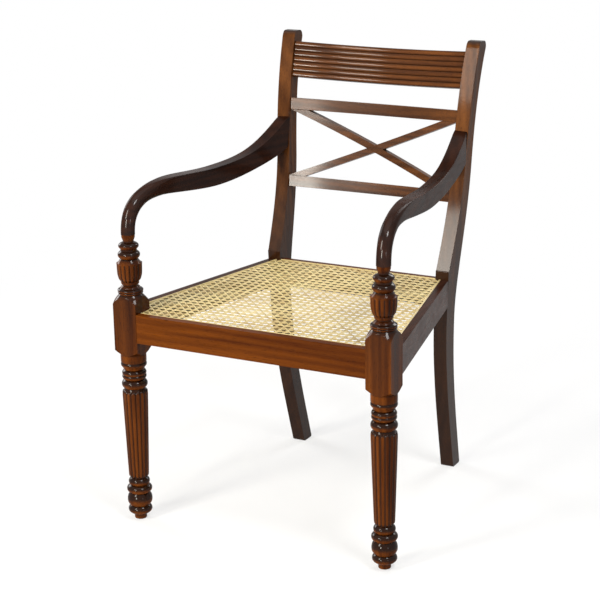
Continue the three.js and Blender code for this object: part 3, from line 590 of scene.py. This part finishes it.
# The block's crown darkens upwards: painted shade.
crown_shade = (0.3, 0.8)
collar_height = 456.5
arm_joint = 574.4
column_foot = 88.5
column_full = 254
column_head = 267.0
column_radius = 24.75
head_steps = 14
dome_steps = 7
dome_step_rise = 0.9
dome_step_flare = 0.05
dome_radius = 19.4
urn_foot = 484.0
urn_head = 519.4
chord_parts = 6
long_steps = 6
short_steps = 4


def bead_line(line, beads):
    """Adds beads, each given by its crest's height and radius and its upper cut's."""
    for crest_height, crest, root_height, root in beads:
        start_height, start, _ = line[-1]
        for step in range(1 - bead_steps, bead_steps + 1):
            off_crest = abs(step) / bead_steps
            low, low_height = (start, start_height) if step < 0 else (root, root_height)
            radius = crest + (low - crest) * off_crest ** bead_power
            above = step / bead_steps
            # Painted shade: each bead darkens from just below its crest up to the cut above it.
            dark = min(max((above + dark_from) / dark_blend, 0), bead_shade)
            line.append((crest_height + (low_height - crest_height) * off_crest, radius, dark))


def smooth_line(line, points, steps, stain_and_shade=0.0):
    """A fair curve through the points after the last one of the line."""
    knots = [Vector((radius, height)) for height, radius in [line[-1][:2]] + points]
    for order in range(len(knots) - 1):
        here, there = knots[order], knots[order + 1]
        before = knots[order - 1] if order else here
        after = knots[order + 2] if order + 2 < len(knots) else there
        lean_out = here + (there - before) / chord_parts
        lean_in = there - (after - here) / chord_parts
        for point in interpolate_bezier(here, lean_out, lean_in, there, steps + 1)[1:]:
            line.append((point.y, point.x, stain_and_shade))


def leg_profile():
    """The whole turning from the floor up, as points of height, radius and painted shade."""
    line = [(0, 0, 0), (0, 9.6, 0), (0.8, 11.4, 0), (2.6, 12, 0), (10, 12, 0.6), (10.4, 14.2, 0.8)]
    bead_line(line, turning_beads["foot"])
    line += [(87.4, 17.2, 0.7)]
    for step in range(dome_steps):
        line.append((column_foot + step * dome_step_rise, dome_radius + step * dome_step_flare, 0))
    smooth_line(line, [(126, 20.8), (211, 23.5), (column_full, 24.7)], long_steps)
    for step in range(1, head_steps + 1):
        height = column_full + step * (column_head - column_full) / head_steps
        line.append((height, column_radius, 0))
    line += [(267.4, 21.2, 0.8), (270.9, 19.5, 1)]
    bead_line(line, turning_beads["collar"])
    smooth_line(line, [(311.0, 20.6), (314.2, 21.7)], short_steps)
    bead_line(line, turning_beads["shank"])
    line += [(325.4, column_radius, 0.2), (337.6, column_radius, 0), (shank_top, 24.3, 0.5)]
    line += [(block_foot, block_corner, 0), (crown_start, block_corner, 0)]
    for step in range(1, crown_steps + 1):
        share = step / crown_steps
        bulge = crown_bulge * math.sin(share * math.pi)
        radius = block_corner + (block_crown - block_corner) * share + bulge
        dark = crown_shade[0] + share * (crown_shade[1] - crown_shade[0])
        line.append((crown_start + (collar_height - crown_start) * share, radius, dark))
    line += [(459.4, 21.8, 1)]
    bead_line(line, turning_beads["base"])
    line += [(471.8, 18.8, 0.6)]
    smooth_line(line, [(473.2, 18.2), (476.4, 14.4)], short_steps, 0.6)
    line += [(478.6, 14.6, 0.7), (478.9, 16.6, 0.2), (479.8, 17.3, 0), (483.6, 17.3, 0.4)]
    line += [(urn_foot, 17.5, 0.3)]
    urn_swell = [(488, 20.6), (493, 22.3), (499, 23.6), (508, 24.1), (urn_head, 24.4)]
    smooth_line(line, urn_swell, short_steps)
    line += [(520.0, 22.2, 0.25), (524.0, 19.4, 0.4), (528.0, 16.4, 1)]
    bead_line(line, turning_beads["ring"])
    line += [(547.4, 15.7, 0.5)]
    bead_line(line, turning_beads["cap"])
    line += [(562.4, 10.3, 0.6), (565.6, 11.4, 0.2), (569.4, 12.8, 0), (arm_joint, 12.9, 0)]
    line += [(arm_joint, 0, 0)]
    return line


profile = leg_profile()
print("profile points:", len(profile))

# %% [markdown]
# The reeds are carved after turning, sixteen round the column and sixteen round the urn. The spin
# has eight faces to a reed, and each of its points moves in by how far it lies from the middle of
# its reed. On the column the reeds end in small domes, and on the urn they stop at a sharp lip.
# The block is cut square last, and its four upright arrises are rounded.

# %% Spin and carve the front legs
reed_count = 16
faces_per_reed = 8
reed_depth = 2.5
reed_depth_radius = 24
reed_fullness = 0.96
foot_dome = 5
head_dome = 7
urn_dome = 6
urn_dome_share = 0.6
reed_shade_gain = 1.8
deepest_shade = 0.95
turned_merge = 0.005 * MM
cut_tolerance = 0.0001 * MM
block_arris = 0.9
turned_face_sides = 8
right_leg_turn = math.radians(5)


def reed_drop(height, angle, turn):
    """How far a point sinks towards the core, as a share of the reed's depth."""
    share = (angle - turn) / (2 * math.pi) * reed_count
    off_middle = abs(share - round(share)) * 2
    if column_foot <= height <= column_head:
        low, high = column_foot + foot_dome - height, height - column_head + head_dome
        end = max(0, low / foot_dome, high / head_dome)
    elif urn_foot <= height <= urn_head:
        end = max(0, (urn_foot + urn_dome - height) / urn_dome) * urn_dome_share
    else:
        return None
    return 1 - math.sqrt(max(0, 1 - (off_middle * reed_fullness) ** 2 - end ** 2))


def cut(form, place, normal, clear=True, tolerance=cut_tolerance):
    """Cuts the whole form at a plane, and clears what lies beyond it."""
    bmesh.ops.bisect_plane(
        form, geom=form.verts[:] + form.edges[:] + form.faces[:], dist=tolerance,
        plane_co=place, plane_no=normal, clear_outer=clear,
    )


def close_holes(form):
    rim = [edge for edge in form.edges if edge.is_boundary]
    bmesh.ops.holes_fill(form, edges=rim, sides=0)


def make_front_leg(side, turn):
    form = bmesh.new()
    corners = [form.verts.new((radius * MM, 0, height * MM)) for height, radius, _ in profile]
    line = [form.edges.new(pair) for pair in zip(corners, corners[1:])]
    bmesh.ops.spin(
        form, geom=corners + line, axis=(0, 0, 1), cent=(0, 0, 0), angle=2 * math.pi,
        steps=reed_count * faces_per_reed, use_merge=True,
    )
    bmesh.ops.remove_doubles(form, verts=form.verts, dist=turned_merge)
    stain_and_shade = form.verts.layers.float.new("stain_and_shade")
    heights = [height for height, _, _ in profile]
    for vert in form.verts:
        height = vert.co.z / MM
        radius = Vector(vert.co.xy).length
        nearest = min(range(len(heights)), key=lambda order: abs(heights[order] - height))
        vert[stain_and_shade] = profile[nearest][2]
        drop = reed_drop(height, math.atan2(vert.co.y, vert.co.x), turn) if radius > 0 else None
        if drop is not None:
            depth = reed_depth * (radius / MM / reed_depth_radius)
            closer = (radius - drop * depth * MM) / radius
            vert.co.xy = Vector(vert.co.xy) * closer
            # The hollows of the reeds are painted darker: painted shade.
            vert[stain_and_shade] = max(vert[stain_and_shade], min(drop * reed_shade_gain, deepest_shade))
    cut_square(form)
    move(form, Vector((side * front_leg_half, 0, 0)) + frame_shift)
    return form


def cut_square(form):
    """Four flat cuts that leave the seat block square, each closed with one whole face."""
    for normal in ((1, 0, 0), (-1, 0, 0), (0, 1, 0), (0, -1, 0)):
        cut(form, Vector(normal) * block_half * MM, normal)
        close_holes(form)
    arrises = [
        edge for edge in form.edges
        if len(edge.link_faces) == 2
        and all(len(face.verts) > turned_face_sides for face in edge.link_faces)
    ]
    round_edges(form, arrises, block_arris * MM, arris_segments)


front_turn = -math.pi / 2
for side, word, turn in ((1, "right", front_turn - right_leg_turn), (-1, "left", front_turn)):
    finish_piece(
        make_front_leg(side, turn), f"turned_leg_{word}", mahogany_turned,
        [f"front_leg_{word}"],
    )

# %% [markdown]
# A back leg and its stile are one sawn piece, so its whole shape is in its side view. The view is
# drawn with fair curves: a sabre leg, a straight part behind the seat with a small ledge, and a
# raked stile whose top is rounded. The shares are parts of the leg's sweep and of its height.

# %% Outline of a back leg
seat_height = 425
chair_height = 884
knee_height = 345
stile_front = 431.2
stile_back = 470.2
stile_width = 28
foot_middle = 174.9
stile_lean = 0.0341
leg_sweep = 67
stile_rake = 107
foot_chamfer = 2.5
ledge_depth = 1.6
ledge_pull_share = 0.55
top_pull_share = 0.66
top_reaches = (15, -13)
corner_reaches = (5, 0.5)
curve_steps = 18
leg_front_shares = [(1, 0), (0.522, 0.348), (0, 0.68)]
leg_back_shares = [(0.91, 0), (0.478, 0.333), (0, 0.62)]
stile_front_shares = [
    (0.222, 0.118), (0.52, 0.277), (0.589, 0.469), (0.645, 0.628), (0.757, 0.787), (1, 0.955),
]
stile_back_shares = [(0.458, 0.186), (0.533, 0.469), (0.589, 0.624), (0.682, 0.798), (0.99, 0.967)]


def leg_points(shares, place):
    return [Vector((place + sweep * leg_sweep, rise * knee_height)) for sweep, rise in shares]


def stile_points(shares, place):
    rise = chair_height - block_top
    return [Vector((place + rake * stile_rake, block_top + up * rise)) for rake, up in shares]


def stile_outline():
    """Side view of the leg: forwards up the front, over the top and down the back."""
    toe, toe_lean, knee_lean = leg_points(leg_front_shares, stile_front)
    heel, heel_lean, hock_lean = leg_points(leg_back_shares, stile_back)
    front = stile_points(stile_front_shares, stile_front)
    back = stile_points(stile_back_shares, stile_back)
    lift = Vector((0, foot_chamfer))
    knee, ledge = Vector((stile_front, knee_height)), Vector((stile_front, block_top - ledge_depth))
    crease = Vector((stile_front + ledge_depth, block_top))
    ledge_corner = Vector((stile_front, block_top))
    hock = Vector((stile_back, knee_height))
    ends = (front[5].x, back[4].x)
    tops = [Vector((end + reach, chair_height)) for end, reach in zip(ends, top_reaches)]
    corners = [Vector((end + reach, chair_height)) for end, reach in zip(ends, corner_reaches)]
    ledge_curve = [end.lerp(ledge_corner, ledge_pull_share) for end in (ledge, crease)]
    front_curve = [end.lerp(corners[0], top_pull_share) for end in (front[5], tops[0])]
    back_curve = [end.lerp(corners[1], top_pull_share) for end in (tops[1], back[4])]
    curves = [
        (toe + lift, toe_lean, knee_lean, knee),
        (knee, knee, ledge, ledge),
        (ledge, *ledge_curve, crease),
        (crease, *front[:3]),
        front[2:6],
        (front[5], *front_curve, tops[0]),
        (tops[0], tops[0], tops[1], tops[1]),
        (tops[1], *back_curve, back[4]),
        back[4:0:-1],
        (back[1], back[0], Vector((stile_back, seat_height)), hock),
        (hock, hock_lean, heel_lean, heel + lift),
    ]
    points = []
    for start, lean_out, lean_in, end in curves:
        straight = start == lean_out and lean_in == end
        count = 2 if straight else curve_steps
        points += interpolate_bezier(start, lean_out, lean_in, end, count)[:-1]
    return points + [heel + lift, heel - Vector((foot_chamfer, 0)), toe + Vector((foot_chamfer, 0))]


outline = stile_outline()


def stile_front_at(height):
    """Place of the stile's front face at a height, read off the outline."""
    for low, high in zip(outline, outline[1:]):
        if low.y <= height <= high.y and high.y > low.y:
            return low.x + (height - low.y) / (high.y - low.y) * (high.x - low.x)
    return stile_front


print("front of the stile at the seat:", round(stile_front_at(seat_height)))

# %% [markdown]
# The outline is filled, pushed out to the stile's width, softened along its arrises and sheared,
# because the stiles spread apart as they rise. The wood is darker up to the seat and fades back
# above it, and the end grain on top is more deeply stained, so both are marked.

# %% Back legs
leg_arris = 1.1
low_darkening = 0.85
darkened_to = 690
cap_stain = 0.9
dark_cap = 9


def stile_inner(height):
    return foot_middle + stile_lean * height - stile_width / 2


def darken_back_leg(form):
    stain_and_shade = form.verts.layers.float.new("stain_and_shade")
    for vert in form.verts:
        share = (vert.co.z / MM - seat_height) / (darkened_to - seat_height)
        top = (vert.co.z / MM - chair_height + dark_cap) / dark_cap
        vert[stain_and_shade] = max(low_darkening * (1 - min(max(share, 0), 1)), min(max(top, 0), cap_stain))


def make_back_leg():
    form = bmesh.new()
    half = stile_width / 2 * MM
    ring = [form.verts.new((-half, point.x * MM, point.y * MM)) for point in outline]
    side = form.faces.new(ring)
    pushed = bmesh.ops.extrude_face_region(form, geom=[side])["geom"]
    moved = [part for part in pushed if isinstance(part, bmesh.types.BMVert)]
    bmesh.ops.translate(form, vec=(2 * half, 0, 0), verts=moved)
    soften(form, leg_arris * MM, arris_segments, arris_angle)
    lean = Matrix.Identity(4)
    lean[0][2] = stile_lean
    bmesh.ops.transform(form, matrix=lean, verts=form.verts)
    move(form, Vector((foot_middle * MM, 0, 0)) + frame_shift)
    darken_back_leg(form)
    return form


finish_pair(make_back_leg(), "sabre_leg", mahogany_up, "back_leg")

# %% [markdown]
# An arm is round where it meets the turned post, like a bent branch, and turns into a flat rail
# with crisp arrises as it runs back and up to the stile. Rings are set along its middle line,
# each with its own depth and roundness, and bridged. One cut then trims it to the stile's rake.

# %% Arms
arm_width = 27
arm_rise = 71.7
arm_end_depth = 56
arm_arris = 1.4
arm_overrun = 24
arm_let_in = 0.6
joint_gap = 0.1
rake_below = 30
rake_above = 35
arm_line_shares = [
    (0, 0), (0, 0.593), (0.048, 0.969), (0.189, 1), (0.269, 1.018),
    (0.408, 0.852), (0.528, 0.852), (0.697, 0.852), (0.857, 0.99), (1.01, 1.523),
]
arm_depth_shares = [0.464, 0.516, 0.525, 0.6, 0.65, 0.667, 1]
arm_round_shares = [1, 1, 1, 0.96, 0.5, 0.16] + [0.1] * 7
arm_stations = 16
corner_steps = 7
arm_end_height = arm_joint + arm_line_shares[-1][1] * arm_rise
arm_end_x = foot_middle + stile_lean * arm_end_height
arm_end_y = stile_front_at(arm_end_height)
arm_run = math.hypot(front_leg_half / MM - arm_end_x, arm_end_y)
arm_turn = math.atan2(front_leg_half / MM - arm_end_x, arm_end_y)


def read_shares(shares, along_share):
    """A smooth value at a place along evenly spaced shares."""
    place = along_share * (len(shares) - 1)
    step = min(int(place), len(shares) - 2)
    part = place - step
    before, here = shares[max(step - 1, 0)], shares[step]
    there, after = shares[step + 1], shares[min(step + 2, len(shares) - 1)]
    lean_here, lean_there = (there - before) / 2, (after - here) / 2
    first = (2 * part ** 3 - 3 * part ** 2 + 1) * here + (part ** 3 - 2 * part ** 2 + part) * lean_here
    return first + (3 * part ** 2 - 2 * part ** 3) * there + (part ** 3 - part ** 2) * lean_there


def closed_ring(form, corners):
    return [form.edges.new((corners[order - 1], corners[order])) for order in range(len(corners))]


def bridge_rings(form, loops):
    """A skin from ring to ring, with both ends filled."""
    for near, far in zip(loops, loops[1:]):
        bmesh.ops.bridge_loops(form, edges=near + far)
    bmesh.ops.holes_fill(form, edges=loops[0] + loops[-1], sides=0)


def arm_ring(form, place, tangent, depth, round_share):
    """One closed ring across the arm, oblong with rounded corners."""
    up = Vector((-tangent.y, tangent.x))
    radius = max(round_share * min(arm_width, depth) / 2, arm_arris)
    ring = []
    for corner in range(4):
        for step in range(corner_steps):
            angle = (corner + (step + 0.5) / corner_steps) * math.pi / 2
            across = math.copysign(arm_width / 2 - radius, math.sin(angle)) + radius * math.sin(angle)
            rise = math.copysign(depth / 2 - radius, math.cos(angle)) + radius * math.cos(angle)
            point = place + up * rise
            ring.append(form.verts.new((across * MM, point.x * MM, point.y * MM)))
    return closed_ring(form, ring)


def make_arm():
    form = bmesh.new()
    knots = [Vector((run * arm_run, rise * arm_rise)) for run, rise in arm_line_shares]
    middle = []
    curve_starts = range(0, len(knots) - 1, 3)
    for first in curve_starts:
        piece = interpolate_bezier(*knots[first:first + 4], arm_stations + 1)
        middle += piece if first == curve_starts[-1] else piece[:-1]
    loops = []
    for order, place in enumerate(middle):
        ahead = middle[min(order + 1, len(middle) - 1)] - middle[max(order - 1, 0)]
        tangent = Vector((0, 1)) if order == 0 else ahead.normalized()
        share = order / (len(middle) - 1)
        depth = arm_end_depth * read_shares(arm_depth_shares, share)
        loops.append(arm_ring(form, place, tangent, depth, read_shares(arm_round_shares, share)))
    beyond = middle[-1] + (middle[-1] - middle[-2]).normalized() * arm_overrun
    loops.append(arm_ring(form, beyond, Vector((1, 0)), arm_end_depth, arm_round_shares[-1]))
    bridge_rings(form, loops)
    bmesh.ops.rotate(form, verts=form.verts, cent=(0, 0, 0), matrix=Matrix.Rotation(arm_turn, 3, "Z"))
    move(form, Vector((front_leg_half, 0, (arm_joint + joint_gap) * MM)) + frame_shift)
    trim_to_stile(form)
    return form


def trim_to_stile(form):
    """Cuts the arm's end to the rake of the stile's front face."""
    low, high = arm_end_height - rake_below, arm_end_height + rake_above
    rake = Vector((0, stile_front_at(high) - stile_front_at(low), high - low)).normalized()
    face = Vector((0, stile_front_at(arm_end_height) * MM, arm_end_height * MM)) + frame_shift
    normal = Vector((0, rake.z, -rake.y))
    cut(form, face + normal * arm_let_in * MM, normal)
    close_holes(form)


finish_pair(make_arm(), "swept_arm", mahogany_shaded_arm, "arm")

# %% [markdown]
# The crest rail is run along its whole front with seven convex reeds, which a moulding plane
# leaves with thin hollows between, painted darker as painted shade. The back is hollow to fit the
# sitter, so the same section is set at many places across, each a little further back towards the
# middle, and bridged. The rail is then tilted to the rake of the stiles and brought to their
# leaning faces.

# %% Crest rail
crest_bottom = 790
crest_height = 73
back_bow = 23
crest_stations = 40
crest_thickness = 18
crest_inset = 8
crest_reeds = 7
crest_reed_depth = 2.4
crest_reed_steps = 10
reed_edge_step = 0.25
hollow_power = 0.8


def crest_section():
    """The rail's section as points of depth, rise and painted shade, with the reeds on its front."""
    front = -crest_thickness / 2
    pitch = crest_height / crest_reeds
    points = [(-front, -crest_height / 2, 0), (-front, crest_height / 2, 0)]
    for reed in range(crest_reeds, 0, -1):
        top = reed * pitch - crest_height / 2
        for step in range(crest_reed_steps):
            angle = (step + reed_edge_step) / (crest_reed_steps - 2 * reed_edge_step) * math.pi
            hollow = 1 - math.sin(angle)
            rise = top - (1 - math.cos(angle)) / 2 * pitch
            points.append((front + crest_reed_depth * hollow, rise, hollow ** hollow_power))
    return points


def make_crest():
    form = bmesh.new()
    stain_and_shade = form.verts.layers.float.new("stain_and_shade")
    loops = []
    for station in range(crest_stations + 1):
        across = 2 * station / crest_stations - 1
        bow = back_bow * (1 - across ** 2)
        ring = []
        for depth, rise, dark in crest_section():
            vert = form.verts.new((across, (depth + bow) * MM, rise * MM))
            # The hollows between the reeds are painted darker: painted shade.
            vert[stain_and_shade] = dark * deepest_shade
            ring.append(vert)
        loops.append(closed_ring(form, ring))
    bridge_rings(form, loops)
    rake = stile_front_at(crest_bottom + crest_height) - stile_front_at(crest_bottom)
    tilt = math.atan2(rake, crest_height)
    middle = crest_bottom + crest_height / 2
    depth = stile_front_at(middle) + crest_inset + crest_thickness / 2 * math.cos(tilt)
    place = Matrix.Translation(Vector((0, depth * MM, middle * MM)) + frame_shift)
    bmesh.ops.transform(form, matrix=place @ Matrix.Rotation(-tilt, 4, "X"), verts=form.verts)
    for vert in form.verts:
        vert.co.x *= (stile_inner(vert.co.z / MM) - joint_gap) * MM
    return form


finish_piece(make_crest(), "reeded_crest", mahogany_crest, ["crest_rail"])

# %% [markdown]
# The cross rails and splats are bowed as the crest is, and the seat frame is straight work. Their
# solids have the right shape already, so each is copied, made whole and given softly rounded
# arrises. The seat rails are bare on their inner faces, which are painted nearly black as painted
# shade under the seat. The corner blocks are as plain on the real chair, so their solids stay and
# get the same shaded bare wood.

# %% Rails, splats and seat frame
rail_arris = 0.7
inward_share = 0.5
net_low, net_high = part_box("cane_seat")
bars = {
    "back_rail_upper": mahogany_back,
    "back_rail_lower": mahogany_low_rail,
    "cross_splat_rising": mahogany_low_rail,
    "cross_splat_falling": mahogany_back,
    "seat_rail_front": mahogany_across,
    "seat_rail_back": mahogany_across,
    "seat_rail_side_right": mahogany_shaded_side,
    "seat_rail_side_left": mahogany_shaded_side,
}


def shade_inside(piece):
    """Gives the faces that look into the seat frame the unpolished wood painted dark as shade."""
    piece.data.materials.append(inner_wood_shade)
    seat_centre = (net_low + net_high) / 2
    for face in piece.data.polygons:
        inwards = (seat_centre - face.center) * Vector((1, 1, 0))
        if face.normal.dot(inwards.normalized()) > inward_share:
            face.material_index = 1


for node, material in bars.items():
    form = solid_copy(node)
    soften(form, rail_arris * MM)
    piece = finish_piece(form, f"dressed_{node}", material, [node])
    if node.startswith("seat_rail"):
        shade_inside(piece)

for corner in ("front_right", "front_left", "back_right", "back_left"):
    block = nodes[f"corner_block_{corner}"]
    block.data.materials.clear()
    block.data.materials.append(inner_wood_shade)

# %% [markdown]
# The seat is woven cane in six directions: pairs of strands from front to back, pairs from side
# to side, and single strands along both diagonals, which leave an eight-sided hole between every
# four crossings. Each strand is a flat strip that waves over and under its neighbours. A family
# of strands is laid, trimmed to the seat, and then given its thickness.

# %% Cane strands
hole_pitch = 15.9
pair_half = 1.55
upright_width = 2.25
slant_width = 2.4
strand_thickness = 0.42
cane_middle = 424.0
net_reach = 290
slant_reach_share = 1.5
rail_inset = 19.8
rail_proud_front = 24.4
rail_proud_back = 13.4
cane_gap = 0.6
stile_notch_half = 174.8
net_tolerance = 0.001 * MM
tone_source = random.Random(7)


def strand(form, tone_layer, line, width, step, wave):
    """A flat strip along its line, lifted by the wave at each of its points."""
    start, direction, order = line
    length = 2 * net_reach * (slant_reach_share if direction.x * direction.y else 1)
    count = max(2, round(length / step))
    made = bmesh.ops.create_grid(form, x_segments=count, y_segments=1, size=1)["verts"]
    side = Vector((-direction.y, direction.x))
    tone = tone_source.random()
    for vert in made:
        run = (vert.co.x + 1) / 2 * length
        across = vert.co.y * width / 2
        place = start + direction * run + side * across
        vert.co = Vector((place.x * MM, place.y * MM, (cane_middle + wave(place, order)) * MM))
        vert[tone_layer] = tone


def trim_edges(form):
    """Trims the strands to the seat's front, back and two slanting sides."""
    front, back = net_low.y - frame_shift.y, net_high.y - frame_shift.y
    start = Vector((front_leg_half / MM + rail_proud_front - rail_inset, block_half))
    stile_middle = foot_middle + stile_lean * seat_height
    end = Vector((stile_middle + rail_proud_back - rail_inset, stile_front))
    slope = Vector((start.y - end.y, end.x - start.x)).normalized() * -1
    cuts = [
        ((0, front, 0), (0, -1, 0)),
        ((0, back, 0), (0, 1, 0)),
        ((start.x * MM, start.y * MM, 0), (slope.x, slope.y, 0)),
        ((-start.x * MM, start.y * MM, 0), (-slope.x, slope.y, 0)),
    ]
    for place, normal in cuts:
        cut(form, place, normal, tolerance=net_tolerance)


def notch_corners(form):
    """Cuts out the corners where the posts and stiles stand."""
    post_back = (block_half + cane_gap) * MM
    post_half = front_leg_half - post_back
    stile_half, stile_near = stile_notch_half * MM, (stile_front - cane_gap) * MM
    for half, edge in ((post_half, post_back), (stile_half, stile_near)):
        for place, normal in ((half, 0), (1, 0)), ((-half, 0), (1, 0)), ((0, edge), (0, 1)):
            cut(form, (*place, 0), (*normal, 0), clear=False, tolerance=net_tolerance)
    notched = []
    for face in form.faces:
        middle = face.calc_center_median()
        at_post = abs(middle.x) > post_half and middle.y < post_back
        if at_post or abs(middle.x) > stile_half and middle.y > stile_near:
            notched.append(face)
    bmesh.ops.delete(form, geom=notched, context="FACES")


def weave(name, lines, width, step, wave, replaced=()):
    """One family of strands, trimmed to the seat and given its thickness."""
    form = bmesh.new()
    tone_layer = form.verts.layers.float.new("tone")
    for line in lines:
        strand(form, tone_layer, line, width, step, wave)
    trim_edges(form)
    notch_corners(form)
    bmesh.ops.recalc_face_normals(form, faces=form.faces)
    bmesh.ops.solidify(form, geom=form.faces, thickness=strand_thickness * MM)
    move(form, frame_shift)
    return finish_piece(form, name, cane_finish, replaced)


print("holes repeat at", hole_pitch, "mm")

# %% [markdown]
# The waves have the pitch of the holes, so that each strand is high where it passes over a pair
# and low where it passes under one. The pairs from front to back lie nearly flat.

# %% Weave the seat
seat_middle = 215
turn_per_mm = 2 * math.pi / hole_pitch
down_lift = 0.28
over_wave = 0.744
slant_wave = 0.8
slant_steps = 3 * math.sqrt(2)
down_counts = range(-20, 21)
over_counts = range(-3, 32)
rising_counts = range(-19, 50)
falling_counts = range(-22, 50)
first_row = seat_middle - round(seat_middle / hole_pitch) * hole_pitch


def wave_down(place, order):
    return order * down_lift


def wave_over(place, order):
    return -order * over_wave * math.sin(place.x * turn_per_mm)


def wave_slant(place, order):
    return order * slant_wave * math.cos(place.x * turn_per_mm)


def slant_lines(counts, order):
    """Single strands from the left, half a pitch off the rows. Order 1 rises and -1 falls."""
    slant = Vector((1, order)).normalized()
    starts = [first_row + (k + 0.5) * hole_pitch - order * net_reach for k in counts]
    return [(Vector((-net_reach, start)), slant, order) for start in starts]


down_lines = [
    (Vector((k * hole_pitch + s * pair_half, seat_middle - net_reach)), Vector((0, 1)), s)
    for k in down_counts for s in (-1, 1)
]
over_lines = [
    (Vector((-net_reach, first_row + k * hole_pitch + s * pair_half)), Vector((1, 0)), s)
    for k in over_counts for s in (-1, 1)
]
slant_step = hole_pitch / slant_steps
weave("cane_pairs_down", down_lines, upright_width, hole_pitch / 2, wave_down, ["cane_seat"])
weave("cane_pairs_over", over_lines, upright_width, hole_pitch / 6, wave_over)
weave("cane_slants_rising", slant_lines(rising_counts, 1), slant_width, slant_step, wave_slant)
weave("cane_slants_falling", slant_lines(falling_counts, -1), slant_width, slant_step, wave_slant)

# %% [markdown]
# A round reed spline is hammered into the groove all round and locks the cane's edge. Its solids
# have the crowned section, so they are copied, made whole and given the cane's finish.

# %% Splines
spline_tone = 0.55
for edge in ("front", "back", "side_right", "side_left"):
    node = f"cane_spline_{edge}"
    form = solid_copy(node)
    tone_layer = form.verts.layers.float.new("tone")
    for vert in form.verts:
        vert[tone_layer] = spline_tone
    finish_piece(form, f"dressed_{node}", cane_finish, [node])
